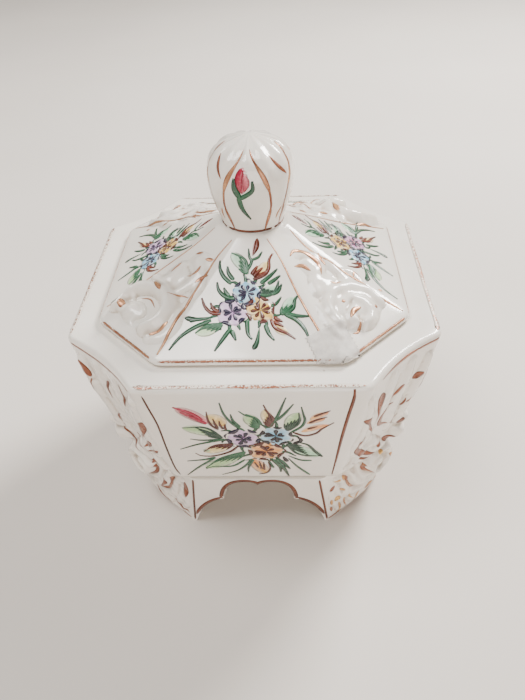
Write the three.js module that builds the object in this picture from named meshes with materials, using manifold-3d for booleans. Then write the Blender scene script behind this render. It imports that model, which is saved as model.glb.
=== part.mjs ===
// Porcelain trinket box: a footed square vessel with scooped corners and a lift-off pyramid lid.
// Millimetres, +Z up. The origin is on the table, under the middle of the box; the front looks to -Y.
import * as THREE from 'three';
import { mergeVertices } from 'three/addons/utils/BufferGeometryUtils.js';
import Module from 'manifold-3d';

// ---------------------------------------------------------------- driving dimensions, mm
const rimHeight = 72;          // table to the flat shoulder
const footHeight = 26.8;       // table to the crease between foot and vessel
const seam = 0.3;              // line of slip or air between two neighbouring castings

const rimHalf = 52;            // axis to a main face, at the rim
const rimFace = 30.4;          // half the straight length of a main face, at the rim
const rimScoop = 2.2;          // depth of the hollow in each cut corner, at the rim
const waistHalf = 43.9;        // the same three sizes at the bottom of the vessel
const waistFace = 25.2;
const waistScoop = 0.6;
const belly = 0.3;             // how far the wall bows outward between waist and rim (0 = straight)
const rimRound = 1.6;          // rounding of the rim's outer edge
const vesselWall = 3.8;
const floorThick = 4;
const shoulderThick = 3.6;

const footProud = 0.7;         // foot ring's top edge, beyond the bottom of the vessel
const footTopFace = 19.8;
const toeLean = 3.6;           // toes, in from the foot ring's top edge
const toeFace = 22.5;
const footWall = 3.8;
const footSwell = 0.6;         // how far each foot's corner bows outward

const toeLand = 1;             // width of each toe on a main face, beside the arch
const archCrown = 1.5;         // height of clay left over the two top lobes of the arch
const archCuspHalf = 11.2;     // half the distance between the two shoulder cusps
const archCuspDrop = 10.2;     // shoulder cusps, below the top of the lobes
const archLobeHalf = 4.3;      // half the distance between the two lobes
const archMiddleDrop = 1.8;     // middle cusp, below the top of the lobes

const shoulderWidth = 8.4;     // bare shoulder between the lid's edge and the rim
const lidFace = 24.9;          // half the straight length of a main side of the lid
const lidEdge = 1.8;           // height of the lid's upright edge
const lidRise = 18.7;          // seat to the flat under the knob
const lidTopWall = 3.4;        // clay over the lid's hollow, under the knob
const lidSag = 0.8;            // how far a lid panel dips below a straight slope

const lidOverhang = 6.4;       // flat underside of the lid, outside its locating flange
const flangeWall = 3;
const flangeDepth = 6;         // how far the flange hangs into the mouth
const flangePlay = 2.5;        // free play between the flange and the mouth, all round

const knobBaseRadius = 9.2;
const knobNeckRadius = 9.1;    // just over the base ring
const knobRadius = 12.1;       // widest part of the bulb
const knobHeight = 24.7;
const knobRibs = 8;
const knobRibDepth = 0.45;
const knobLedge = 0.7;         // flat of the lid, beyond the knob's base
const lidTopFace = 3.8;        // half the straight length of a side of that flat

const bodySprigThick = 3;      // how far each raised ornament stands off its wall
const bodySprigBulge = 2.5;    // and how much further it swells towards its lower end
const footSprigThick = 2;
const lidSprigThick = 2.6;
const bodySprigMargin = 2.5;   // bare strip between an ornament and the edges over and under it
const footSprigMargin = 2;
const lidSprigMargin = 4;      // bare strip between the lid's ornament and each ridge

const tapeWidth = 11;          // along the ridge of the lid
const tapeReach = 7.5;         // onto the main face, from the ridge
const tapeTurn = 2.6;          // onto the scrolled corner, from the ridge
const tapeThick = 0.3;

const cornerSteps = 6;         // flat strips that make up one scooped corner
const wallSteps = 6;

// ---------------------------------------------------------------- shared surfaces
const lerp = THREE.MathUtils.lerp;

// A point of the cut corner between +X and +Y: s runs from -1 on the +X side to 1 on the +Y side.
function cornerPoint(size, s) {
  const along = s * (size.half - size.face) / 2;
  const middle = (size.half + size.face) / 2;
  const inward = size.scoop * (1 - s * s) / Math.SQRT2;
  return new THREE.Vector2(middle - along - inward, middle + along - inward);
}

// The plan of the box, anticlockwise: four straight faces joined by four scooped corners.
function planOutline(size) {
  const points = [];
  for (let quarter = 0; quarter < 4; quarter++) {
    for (let i = 0; i <= cornerSteps; i++) {
      const point = cornerPoint(size, 2 * i / cornerSteps - 1);
      points.push(point.rotateAround(new THREE.Vector2(), quarter * Math.PI / 2));
    }
  }
  return points;
}

const ringAt = (size, z) => planOutline(size).map((p) => new THREE.Vector3(p.x, p.y, z));

// A skin through rings of equal length. An open skin gets a fan of triangles over each end.
function loft(rings, closed = false) {
  const count = rings[0].length;
  const positions = rings.flat().flatMap((p) => [p.x, p.y, p.z]);
  const index = [];
  const last = closed ? rings.length : rings.length - 1;
  for (let r = 0; r < last; r++) {
    const low = r * count;
    const high = ((r + 1) % rings.length) * count;
    for (let i = 0; i < count; i++) {
      const j = (i + 1) % count;
      index.push(low + i, low + j, high + j, low + i, high + j, high + i);
    }
  }
  if (!closed) {
    for (const [ring, start, flip] of [[rings[0], 0, true], [rings.at(-1), last * count, false]]) {
      const centre = new THREE.Vector3();
      ring.forEach((p) => centre.addScaledVector(p, 1 / count));
      const hub = positions.length / 3;
      positions.push(centre.x, centre.y, centre.z);
      for (let i = 0; i < count; i++) {
        const j = (i + 1) % count;
        index.push(hub, start + (flip ? j : i), start + (flip ? i : j));
      }
    }
  }
  const geometry = new THREE.BufferGeometry();
  geometry.setAttribute('position', new THREE.Float32BufferAttribute(positions, 3));
  geometry.setIndex(index);
  return geometry;
}

const inset = (size, wall) => ({
  half: size.half - wall,
  face: size.face - wall * (Math.SQRT2 - 1),
  scoop: size.scoop,
});

// Outside of the vessel at a height t, from 0 at the waist to 1 at the rim.
function vesselSize(t) {
  const bowed = t + belly * t * (1 - t);
  return {
    half: lerp(waistHalf, rimHalf, bowed),
    face: lerp(waistFace, rimFace, bowed),
    scoop: lerp(waistScoop, rimScoop, t),
  };
}

// Outside of the foot ring at a height t, from 0 on the table to 1 at the crease.
const footSize = (t) => ({
  half: waistHalf + footProud - toeLean * (1 - t),
  face: lerp(toeFace, footTopFace, t),
  scoop: -footSwell,
});

// Top of the lid at t, from 0 at the edge to 1 at the flat under the knob.
const lidHalf = rimHalf - shoulderWidth;
const lidTopHalf = knobBaseRadius + knobLedge;
const lidSize = (t) => ({ half: lerp(lidHalf, lidTopHalf, t), face: lerp(lidFace, lidTopFace, t), scoop: 0 });
const flange = inset(lidSize(0), lidOverhang);
const mouth = inset(flange, -flangePlay);

// ---------------------------------------------------------------- solids cut with manifold-3d
const wasm = await Module();
wasm.setup();

function toSolid(geometry) {
  const bare = geometry.clone();
  bare.deleteAttribute('normal');
  bare.deleteAttribute('uv');
  const merged = mergeVertices(bare, 1e-4);
  return new wasm.Manifold(new wasm.Mesh({
    numProp: 3,
    vertProperties: new Float32Array(merged.attributes.position.array),
    triVerts: new Uint32Array(merged.index.array),
  }));
}

function toGeometry(solid) {
  const mesh = solid.getMesh();
  const geometry = new THREE.BufferGeometry();
  geometry.setAttribute('position', new THREE.Float32BufferAttribute(mesh.vertProperties, 3));
  geometry.setIndex(new THREE.BufferAttribute(mesh.triVerts, 1));
  return geometry;
}

// ---------------------------------------------------------------- vessel
const vesselBottom = footHeight + seam;
const wallTop = rimHeight - rimRound;

function vesselBody() {
  const rise = (z) => (z - vesselBottom) / (rimHeight - vesselBottom);
  const heights = (from, to) => Array.from({ length: wallSteps + 1 }, (_, i) => lerp(from, to, i / wallSteps));
  const outside = heights(vesselBottom, wallTop).map((z) => ringAt(vesselSize(rise(z)), z));
  const edgeSteps = 3;
  for (let i = 1; i <= edgeSteps; i++) {
    const angle = i / edgeSteps * Math.PI / 2;
    const z = wallTop + rimRound * Math.sin(angle);
    outside.push(ringAt(inset(vesselSize(rise(z)), rimRound * (1 - Math.cos(angle))), z));
  }
  const underShoulder = rimHeight - shoulderThick;
  const opening = [ringAt(mouth, rimHeight), ringAt(mouth, underShoulder)];
  const inside = heights(underShoulder, vesselBottom + floorThick)
    .map((z) => ringAt(inset(vesselSize(rise(z)), vesselWall), z));
  return loft([...outside, ...opening, ...inside]);
}

// ---------------------------------------------------------------- foot ring with its four arches
function archShape() {
  const top = footHeight - archCrown;
  const cusp = top - archCuspDrop;
  const middle = top - archMiddleDrop;
  const half = toeFace - toeLand;
  const below = 1;
  const shape = new THREE.Shape();
  shape.moveTo(-half, -below);
  shape.lineTo(-half, 0);
  shape.quadraticCurveTo(-lerp(archCuspHalf, half, 0.75), cusp * 0.85, -archCuspHalf, cusp);
  shape.quadraticCurveTo(-archCuspHalf * 0.95, top, -archLobeHalf, top);
  shape.quadraticCurveTo(-archLobeHalf * 0.3, top, 0, middle);
  shape.quadraticCurveTo(archLobeHalf * 0.3, top, archLobeHalf, top);
  shape.quadraticCurveTo(archCuspHalf * 0.95, top, archCuspHalf, cusp);
  shape.quadraticCurveTo(lerp(archCuspHalf, half, 0.75), cusp * 0.85, half, 0);
  shape.lineTo(half, -below);
  return shape;
}

function footRing() {
  const top = footHeight;
  const rings = [
    ringAt(footSize(0), 0),
    ringAt(footSize(1), top),
    ringAt(inset(footSize(1), footWall), top),
    ringAt(inset(footSize(0), footWall), 0),
  ];
  const length = 4 * rimHalf;
  const cutter = new THREE.ExtrudeGeometry(archShape(), { depth: length, bevelEnabled: false, curveSegments: 5 });
  cutter.translate(0, 0, -length / 2);
  cutter.rotateX(Math.PI / 2);
  const through = toSolid(cutter);
  const across = toSolid(cutter.clone().rotateZ(Math.PI / 2));
  return toGeometry(toSolid(loft(rings, true)).subtract(through).subtract(across));
}

// ---------------------------------------------------------------- lid
const lidBottom = rimHeight + seam;
const lidTop = lidBottom + lidRise;

function lidHeight(t) {
  return lerp(lidBottom + lidEdge, lidTop, t) - lidSag * 4 * t * (1 - t);
}

function lidShell() {
  const slopeSteps = 5;
  const steps = Array.from({ length: slopeSteps + 1 }, (_, i) => i / slopeSteps);
  const outside = [ringAt(lidSize(0), lidBottom), ...steps.map((t) => ringAt(lidSize(t), lidHeight(t)))];
  // From the hollow's ceiling down to its mouth, out under the edge, and up the outside.
  const ceiling = ringAt(inset(lidSize(1), lidTopWall / 2), lidTop - lidTopWall);
  return loft([ceiling, ringAt(inset(flange, flangeWall), lidBottom), ...outside]);
}

function locatingFlange() {
  const inner = inset(flange, flangeWall);
  const top = lidBottom - seam;
  const bottom = top - flangeDepth;
  return loft([ringAt(flange, bottom), ringAt(flange, top), ringAt(inner, top), ringAt(inner, bottom)], true);
}

// ---------------------------------------------------------------- knob
function knob() {
  const sides = 3 * knobRibs;
  const bottom = lidTop + seam;
  // Radius, and share of the height, up the bulb's side: base ring, neck, belly and puckered top.
  const stations = [
    [knobBaseRadius, 0], [knobBaseRadius, 0.05], [knobNeckRadius, 0.1],
    [lerp(knobNeckRadius, knobRadius, 0.55), 0.23], [lerp(knobNeckRadius, knobRadius, 0.9), 0.38],
    [knobRadius, 0.57], [knobRadius * 0.96, 0.71], [knobRadius * 0.84, 0.82], [knobRadius * 0.6, 0.92],
    [knobRadius * 0.16, 1],
  ];
  const side = new THREE.CatmullRomCurve3(stations.map(([r, share]) => new THREE.Vector3(r, 0, share * knobHeight)));
  const rings = side.getPoints(14).map((p) => Array.from({ length: sides }, (_, i) => {
    const angle = i / sides * 2 * Math.PI;
    const swell = Math.min(1, p.z / (knobHeight / 2));
    const radius = p.x + knobRibDepth * swell * Math.cos(knobRibs * angle) * Math.min(1, p.x / knobRadius);
    return new THREE.Vector3(radius * Math.cos(angle), radius * Math.sin(angle), bottom + p.z);
  }));
  return loft(rings);
}

// ---------------------------------------------------------------- raised ornament
// A pad that lies on a surface: point(s, t) is a place on the wall and outward(s, t) the way off it.
// Its edge follows width(t), and it is thickest along its middle.
function sprig(point, outward, width, thick, rows, bulge = 0, columns = 6) {
  const place = (s, t, lift) => point(s, t).addScaledVector(outward(s, t), lift);
  const grid = [];
  for (let r = 0; r <= rows; r++) {
    const t = r / rows;
    for (let c = 0; c <= columns; c++) {
      const across = 2 * c / columns - 1;
      grid.push([across * width(t), t, across]);
    }
  }
  const positions = [];
  const crown = (t, across) => {
    const lobes = 0.8 + 0.2 * Math.cos(3 * Math.PI * across) * Math.cos(6 * Math.PI * t);
    return (0.25 + 0.75 * (1 - across * across) * Math.sin(Math.PI * lerp(0.12, 0.88, t))) * lobes;
  };
  const height = (t) => thick + bulge * Math.sin(Math.PI * Math.min(1, 2 * t + 0.2)) ** 2;
  for (const [s, t, across] of grid) positions.push(...place(s, t, seam + height(t) * crown(t, across)));
  for (const [s, t] of grid) positions.push(...place(s, t, seam));
  const index = [];
  const at = (r, c, layer) => layer * grid.length + r * (columns + 1) + c;
  const quad = (a, b, c, d) => index.push(a, b, c, a, c, d);
  for (let r = 0; r < rows; r++) {
    for (let c = 0; c < columns; c++) {
      quad(at(r, c, 0), at(r, c + 1, 0), at(r + 1, c + 1, 0), at(r + 1, c, 0));
      quad(at(r, c, 1), at(r + 1, c, 1), at(r + 1, c + 1, 1), at(r, c + 1, 1));
    }
    quad(at(r, 0, 0), at(r + 1, 0, 0), at(r + 1, 0, 1), at(r, 0, 1));
    quad(at(r, columns, 0), at(r, columns, 1), at(r + 1, columns, 1), at(r + 1, columns, 0));
  }
  for (let c = 0; c < columns; c++) {
    quad(at(0, c, 0), at(0, c, 1), at(0, c + 1, 1), at(0, c + 1, 0));
    quad(at(rows, c, 0), at(rows, c + 1, 0), at(rows, c + 1, 1), at(rows, c, 1));
  }
  const geometry = new THREE.BufferGeometry();
  geometry.setAttribute('position', new THREE.Float32BufferAttribute(positions, 3));
  geometry.setIndex(index);
  return geometry;
}

const diagonal = new THREE.Vector3(1, 1, 0).normalize();

// On the vessel's corner, from just over the crease to just under the rim.
function bodySprig() {
  const low = vesselBottom + bodySprigMargin;
  const high = wallTop - bodySprigMargin;
  const point = (s, t) => {
    const z = lerp(low, high, t);
    const p = cornerPoint(vesselSize((z - vesselBottom) / (rimHeight - vesselBottom)), s);
    return new THREE.Vector3(p.x, p.y, z);
  };
  const width = (t) => 0.5 + 0.2 * t + 0.1 * Math.cos(5 * Math.PI * t);
  return sprig(point, () => diagonal, width, bodySprigThick, 14, bodySprigBulge);
}

// On the foot's corner, from just over the table to just under the crease.
function footSprig() {
  const point = (s, t) => {
    const z = lerp(footSprigMargin, footHeight - footSprigMargin, t);
    const p = cornerPoint(footSize(z / footHeight), s);
    return new THREE.Vector3(p.x, p.y, z);
  };
  const width = (t) => 0.6 + 0.12 * Math.cos(3 * Math.PI * t);
  return sprig(point, () => diagonal, width, footSprigThick, 10);
}

// On the lid's sloping corner, from just inside the edge to part of the way up.
function lidSprig() {
  const reach = 0.72;
  const point = (s, t) => {
    const along = lerp(0.05, reach, t);
    const p = cornerPoint(lidSize(along), s);
    return new THREE.Vector3(p.x, p.y, lidHeight(along));
  };
  const run = cornerPoint(lidSize(0), 0).distanceTo(cornerPoint(lidSize(1), 0));
  const up = new THREE.Vector3(0, 0, run).addScaledVector(diagonal, lidRise - lidEdge).normalize();
  const width = (t) => {
    const size = lidSize(lerp(0.05, reach, t));
    const halfChord = (size.half - size.face) / Math.SQRT2;
    return (1 - lidSprigMargin / halfChord) * (0.92 + 0.08 * Math.cos(4 * Math.PI * t));
  };
  return sprig(point, () => up, width, lidSprigThick, 12);
}

// ---------------------------------------------------------------- strip of clear tape on one lid ridge
function tapeStrip() {
  const from = 0.03;
  const slope = Math.hypot(lidHalf - lidTopHalf, lidRise - lidEdge);
  const steps = 3;
  const rows = [];
  for (let i = 0; i <= steps; i++) {
    const t = from + tapeWidth / slope * i / steps;
    const size = lidSize(t);
    const z = lidHeight(t);
    const ridge = new THREE.Vector3(size.face, -size.half, z);
    const along = new THREE.Vector3(ridge.x - tapeReach, ridge.y, z);
    const turned = tapeTurn / Math.SQRT2;
    const round = new THREE.Vector3(ridge.x + turned, ridge.y + turned, z);
    rows.push([along, ridge, round]);
  }
  const lift = new THREE.Vector3(0.15, -0.35, 0.9).normalize();
  const section = (row) => [
    ...row.map((p) => p.clone().addScaledVector(lift, seam)),
    ...[...row].reverse().map((p) => p.clone().addScaledVector(lift, seam + tapeThick)),
  ];
  return loft(rows.reverse().map(section));
}

// ---------------------------------------------------------------- assembly
const porcelain = new THREE.MeshStandardMaterial({ color: 0xefe8dc, roughness: 0.14, metalness: 0 });
const raised = new THREE.MeshStandardMaterial({ color: 0xf2e9d8, roughness: 0.16, metalness: 0 });
const tape = new THREE.MeshStandardMaterial({ color: 0xe4dfd3, roughness: 0.6, metalness: 0 });

const trinketBox = new THREE.Group();

function add(name, geometry, material, turn = 0) {
  const mesh = new THREE.Mesh(geometry, material);
  mesh.name = name;
  mesh.rotation.z = turn;
  trinketBox.add(mesh);
}

add('vessel_body', vesselBody(), porcelain);
add('foot_ring', footRing(), porcelain);
add('lid_shell', lidShell(), porcelain);
add('lid_locating_flange', locatingFlange(), porcelain);
add('lid_knob', knob(), porcelain);

const corners = ['back_right', 'back_left', 'front_left', 'front_right'];
const ornaments = { body_scroll: bodySprig, foot_scroll: footSprig, lid_scroll: lidSprig };
for (const [name, make] of Object.entries(ornaments)) {
  corners.forEach((corner, i) => add(`${name}_${corner}`, make(), raised, i * Math.PI / 2));
}
add('clear_tape_strip', tapeStrip(), tape);

export default trinketBox;
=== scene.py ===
import math
import random

import bpy
import numpy as np
from mathutils import Matrix, Vector
from mathutils.bvhtree import BVHTree


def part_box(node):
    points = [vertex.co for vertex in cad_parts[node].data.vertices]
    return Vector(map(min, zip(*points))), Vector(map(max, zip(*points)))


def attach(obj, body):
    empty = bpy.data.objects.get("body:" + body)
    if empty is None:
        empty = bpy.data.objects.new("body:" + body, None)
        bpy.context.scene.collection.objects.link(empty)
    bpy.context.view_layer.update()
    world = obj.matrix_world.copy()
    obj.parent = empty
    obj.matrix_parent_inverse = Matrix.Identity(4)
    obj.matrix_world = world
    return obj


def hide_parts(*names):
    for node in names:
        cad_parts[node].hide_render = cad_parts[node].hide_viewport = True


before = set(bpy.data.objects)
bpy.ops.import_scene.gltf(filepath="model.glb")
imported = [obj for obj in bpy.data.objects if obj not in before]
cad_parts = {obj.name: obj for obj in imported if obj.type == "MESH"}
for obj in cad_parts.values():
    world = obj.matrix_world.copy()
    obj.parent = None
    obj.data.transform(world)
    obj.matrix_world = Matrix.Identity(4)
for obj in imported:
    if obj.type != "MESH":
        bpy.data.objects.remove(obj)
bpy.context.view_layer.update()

MM = 0.001                                   # sizes below are in millimetres

# ================================================================ vessel
# The vessel is a slip-cast porcelain shell: four flat leaning faces, four corners cut off and
# scooped, a broad flat shoulder and a thick rolled rim. It is glazed inside and out.

vessel_low, vessel_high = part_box("vessel_body")
RIM_Z = vessel_high.z / MM
WAIST_Z = vessel_low.z / MM
RIM = dict(half=vessel_high.x / MM + 0.2, face=30.4, scoop=2.2)
WAIST = dict(half=43.9, face=25.2, scoop=0.6)
BELLY = 0.3                                  # how much the walls bow outward between waist and rim
RIM_ROUND = 1.6
VESSEL_WALL = 3.8
SHOULDER_THICK = 3.6
FLOOR_THICK = 4.0
FLOOR_ROUND = 4.0                            # radius inside, between the wall and the floor
LID_PLAN = dict(half=43.6, face=24.9, scoop=0.0)             # edge of the lid, which the mouth follows
MOUTH_HALF = 39.7
LIP_ROUND = 0.9
EDGE_SOFTNESS = 1.5                          # spread of the rounding on every upright edge
CORNER_POINTS, FACE_POINTS = 40, 80          # points of a plan outline on each corner and face


def between(a, b, t):
    """The value a share t of the way from a to b."""
    return a + (b - a) * t


def bell(x):
    """Weights of a soft blur at the given distances, in spreads, from the middle."""
    weights = np.exp(-0.5 * x ** 2)
    return weights / weights.sum()


def plan(half, face, scoop, soft=EDGE_SOFTNESS):
    """Plan of the box: four faces and four scooped corners, with sponged edges, from +X+Y round."""
    s = np.linspace(-1, 1, CORNER_POINTS, endpoint=False)
    along = s * (half - face) / 2
    middle = (half + face) / 2 - scoop * (1 - s * s) / math.sqrt(2)
    f = np.linspace(face, -face, FACE_POINTS, endpoint=False)
    quarter = np.concatenate([np.stack([middle - along, middle + along], 1),
                              np.stack([f, np.full_like(f, half)], 1)])
    x, y = quarter.T
    loop = np.concatenate([quarter, np.stack([-y, x], 1), -quarter, np.stack([y, -x], 1)])
    if soft:
        closed = np.vstack([loop, loop[:1]])
        spacing = np.linalg.norm(np.diff(closed, axis=0), axis=1).mean()
        reach = int(3 * soft / spacing) + 1
        offsets = np.arange(-reach, reach + 1)
        weights = bell(offsets * spacing / soft)
        loop = sum(w * np.roll(loop, -k, axis=0) for k, w in zip(offsets, weights))
    return loop


def inset(size, wall):
    """The same plan with its faces and corners moved in by the wall."""
    return dict(half=size["half"] - wall, face=size["face"] - wall * (math.sqrt(2) - 1),
                scoop=size["scoop"])


def ring(size, z, soft=EDGE_SOFTNESS):
    outline = plan(**size, soft=soft)
    return np.column_stack([outline, np.full(len(outline), z)])


def loft(rings, capped=True):
    """Points and faces of a skin through rings of equal length, with a hub over each end if capped."""
    rings = [np.asarray(r) for r in rings]
    count = len(rings[0])
    points = np.concatenate(rings)
    i = np.arange(count)
    j = (i + 1) % count
    faces = []
    for r in range(len(rings) - 1):
        low, high = r * count, (r + 1) * count
        faces += np.column_stack([low + i, low + j, high + j, high + i]).tolist()
    if capped:
        for loop, start, flip in ((rings[0], 0, True), (rings[-1], (len(rings) - 1) * count, False)):
            hub = len(points)
            points = np.vstack([points, loop.mean(axis=0)])
            a, b = (j, i) if flip else (i, j)
            faces += np.column_stack([np.full(count, hub), start + a, start + b]).tolist()
    return points, faces


def piece(name, points, faces, material, body, colours=None, values=None):
    """A smooth-shaded mesh from points in millimetres, riding on a body."""
    mesh = bpy.data.meshes.new(name)
    mesh.from_pydata((np.asarray(points) * MM).tolist(), [], faces)
    mesh.shade_smooth()
    for key, data in (colours or {}).items():
        layer = mesh.attributes.new(key, "FLOAT_COLOR", "POINT")
        layer.data.foreach_set("color", np.asarray(data, np.float32).ravel())
    for key, data in (values or {}).items():
        layer = mesh.attributes.new(key, "FLOAT", "POINT")
        layer.data.foreach_set("value", np.asarray(data, np.float32).ravel())
    mesh.materials.append(material)
    thing = bpy.data.objects.new(name, mesh)
    bpy.context.scene.collection.objects.link(thing)
    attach(thing, body)
    return thing


def linear(code):
    """An sRGB hex colour as linear red, green, blue and full alpha."""
    parts = [int(code[i:i + 2], 16) / 255 for i in (1, 3, 5)]
    return tuple(c / 12.92 if c <= 0.04045 else ((c + 0.055) / 1.055) ** 2.4 for c in parts) + (1.0,)


def add(tree, kind, settings=None, links=None):
    """A node with its settings and links. "stops" fills a colour ramp, the name of a property sets
    that property, and any other key sets an input."""
    made = tree.nodes.new(kind)
    for key, value in (settings or {}).items():
        if key == "stops":
            elements = made.color_ramp.elements
            while len(elements) < len(value):
                elements.new(0.5)
            for element, (place, colour) in zip(elements, value):
                element.position, element.color = place, colour
        elif isinstance(key, str) and hasattr(made, key):
            setattr(made, key, value)
        else:
            made.inputs[key].default_value = value
    for key, source in (links or {}).items():
        tree.links.new(source, made.inputs[key])
    return made


def new_material(name):
    made = bpy.data.materials.new(name)
    made.use_nodes = True
    made.node_tree.nodes.clear()
    return made, made.node_tree


BLACK, WHITE = (0, 0, 0, 1), (1, 1, 1, 1)

# Glazed porcelain: a cream body under a thick clear glaze. Its gloss is sharp, its colour drifts a
# little over 10 to 20 mm, the glaze ripples faintly, dust and painted shade grey the hollows of the
# relief, and iron in the clay leaves pin-head specks.
glazed, tree = new_material("cream porcelain, dipped and glost fired")
where = add(tree, "ShaderNodeTexCoord").outputs["Object"]
drift = add(tree, "ShaderNodeTexNoise", {"Scale": 55.0, "Detail": 3.0}, {"Vector": where})
cream = add(tree, "ShaderNodeValToRGB", {"stops": [(0.3, linear("#EFE8DD")), (0.7, linear("#F6F0E6"))]},
            {"Fac": drift.outputs["Fac"]})
# Dust and painted shade: the hollow value greys the cream towards #BFAE9A in the relief's hollows, where
# shade falls.
dust_and_shade = add(tree, "ShaderNodeAttribute", {"attribute_name": "hollow"})
dusted_and_shaded = add(tree, "ShaderNodeMix", {"data_type": "RGBA", 7: linear("#BFAE9A")},
             {0: dust_and_shade.outputs["Fac"], 6: cream.outputs["Color"]})
cells = add(tree, "ShaderNodeTexVoronoi", {"Scale": 95.0}, {"Vector": where})       # one cell in 10 mm
dots = add(tree, "ShaderNodeValToRGB", {"stops": [(0.0, WHITE), (0.045, BLACK)]},
           {"Fac": cells.outputs["Distance"]})
few = add(tree, "ShaderNodeMath", {"operation": "GREATER_THAN", 1: 0.72}, {0: cells.outputs["Color"]})
speck = add(tree, "ShaderNodeMath", {"operation": "MULTIPLY"},
            {0: dots.outputs["Color"], 1: few.outputs[0]})
specked = add(tree, "ShaderNodeMix", {"data_type": "RGBA", 7: linear("#8C7358")},
              {0: speck.outputs[0], 6: dusted_and_shaded.outputs[2]})
wiped = add(tree, "ShaderNodeTexNoise", {"Scale": 180.0, "Detail": 2.0}, {"Vector": where})
gloss = add(tree, "ShaderNodeMapRange", {"To Min": 0.10, "To Max": 0.22}, {"Value": wiped.outputs["Fac"]})
ripple = add(tree, "ShaderNodeTexNoise", {"Scale": 240.0, "Detail": 1.0}, {"Vector": where})
bump = add(tree, "ShaderNodeBump", {"Strength": 0.22, "Distance": 0.0002},
           {"Height": ripple.outputs["Fac"]})
shade = add(tree, "ShaderNodeBsdfPrincipled",
            {"IOR": 1.52, "Subsurface Weight": 0.06, "Subsurface Radius": (0.0016, 0.0011, 0.0008),
             "Subsurface Scale": 0.6, "Coat Weight": 0.5, "Coat Roughness": 0.06, "Coat IOR": 1.5},
            {"Base Color": specked.outputs[2], "Roughness": gloss.outputs[0], "Normal": bump.outputs[0]})
add(tree, "ShaderNodeOutputMaterial", links={"Surface": shade.outputs[0]})


def vessel_size(z):
    """Plan of the vessel's outside at a height."""
    t = (z - WAIST_Z) / (RIM_Z - WAIST_Z)
    bowed = t + BELLY * t * (1 - t)
    return dict(half=between(WAIST["half"], RIM["half"], bowed),
                face=between(WAIST["face"], RIM["face"], bowed),
                scoop=between(WAIST["scoop"], RIM["scoop"], t))


def inside_size(z):
    return inset(vessel_size(z), VESSEL_WALL)


MOUTH = inset(LID_PLAN, LID_PLAN["half"] - MOUTH_HALF)
wall_top = RIM_Z - RIM_ROUND
rings = [ring(inset(vessel_size(WAIST_Z), 1.2), WAIST_Z - 0.2),
         ring(inset(vessel_size(WAIST_Z), 0.25), WAIST_Z)]
rings += [ring(vessel_size(z), z) for z in np.linspace(WAIST_Z + 0.7, wall_top, 44)]
for angle in np.linspace(0, math.pi / 2, 8)[1:]:
    z = wall_top + RIM_ROUND * math.sin(angle)
    rings.append(ring(inset(vessel_size(min(z, RIM_Z)), RIM_ROUND * (1 - math.cos(angle))), z))
shoulder = rings[-1]
mouth_lip = ring(inset(MOUTH, -LIP_ROUND), RIM_Z)
for t in (0.25, 0.5, 0.75, 1.0):
    step = between(shoulder, mouth_lip, t)
    step[:, 2] -= 0.15 * math.sin(math.pi * t)          # the shoulder dips a hair in the middle
    rings.append(step)
for angle in (30, 60, 90):
    a = math.radians(angle)
    rings.append(ring(inset(MOUTH, -LIP_ROUND * (1 - math.sin(a))), RIM_Z - LIP_ROUND * (1 - math.cos(a))))
under = RIM_Z - SHOULDER_THICK
floor_z = WAIST_Z + FLOOR_THICK
round_z = floor_z + FLOOR_ROUND
rings.append(ring(MOUTH, under + 0.8))
rings.append(ring(inset(MOUTH, -1.0), under))
rings += [ring(inset(inside_size(under), 0.8), under), ring(inside_size(under - 1), under - 1.2)]
rings += [ring(inside_size(z), z) for z in np.linspace(under - 3, round_z, 14)]
for angle in (30, 60, 90):
    a = math.radians(angle)
    z = floor_z + FLOOR_ROUND * (1 - math.sin(a))
    rings.append(ring(inset(inside_size(round_z), FLOOR_ROUND * (1 - math.cos(a))), z))
rings.append(rings[-1] * (0.5, 0.5, 1))
vessel_points, vessel_faces = loft(rings)
vessel = piece("glazed_vessel", vessel_points, vessel_faces, glazed, "box")
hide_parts("vessel_body")

# ================================================================ foot ring
# The foot ring is cast separately and luted on with slip. Each face is cut away in an arch with two
# lobes and two cusps, which leaves four short toes. It is glazed together with the vessel.

foot_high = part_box("foot_ring")[1]
FOOT_TOP = foot_high.z / MM
FOOT_TOP_SIZE = dict(half=foot_high.x / MM, face=19.8, scoop=-0.6)
FOOT_TOE_SIZE = dict(half=foot_high.x / MM - 3.6, face=22.5, scoop=-0.6)
FOOT_WALL = 3.8
ARCH_HALF = 21.5
ARCH_TOP = FOOT_TOP - 1.5
CUSP = (11.2, ARCH_TOP - 10.2)
LOBE_HALF = 4.3
MIDDLE_Z = ARCH_TOP - 1.8
FOOT_ROWS = 30
FOOT_EDGE = 0.6                              # rounding of every cut edge


def foot_size(z):
    """Plan of the foot ring's outside at a height: it spreads from the toes up to the seam."""
    t = min(max(z / FOOT_TOP, 0), 1)
    return {key: between(FOOT_TOE_SIZE[key], FOOT_TOP_SIZE[key], t) for key in FOOT_TOP_SIZE}


def bend(a, b, c, count):
    """Points of a curve from a to c that leans towards b; the last point is left out."""
    t = np.linspace(0, 1, count, endpoint=False)[:, None]
    a, b, c = map(np.asarray, (a, b, c))
    return (1 - t) ** 2 * a + 2 * t * (1 - t) * b + t ** 2 * c


half_arch = np.concatenate([
    bend((ARCH_HALF, 0), (between(CUSP[0], ARCH_HALF, 0.75), CUSP[1] * 0.85), CUSP, 22),
    bend(CUSP, (CUSP[0] * 0.95, ARCH_TOP), (LOBE_HALF, ARCH_TOP), 26),
    bend((LOBE_HALF, ARCH_TOP), (LOBE_HALF * 0.3, ARCH_TOP), (0, MIDDLE_Z), 12)])
arch = np.concatenate([half_arch, [(0, MIDDLE_Z)], half_arch[::-1] * (-1, 1)])

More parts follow.
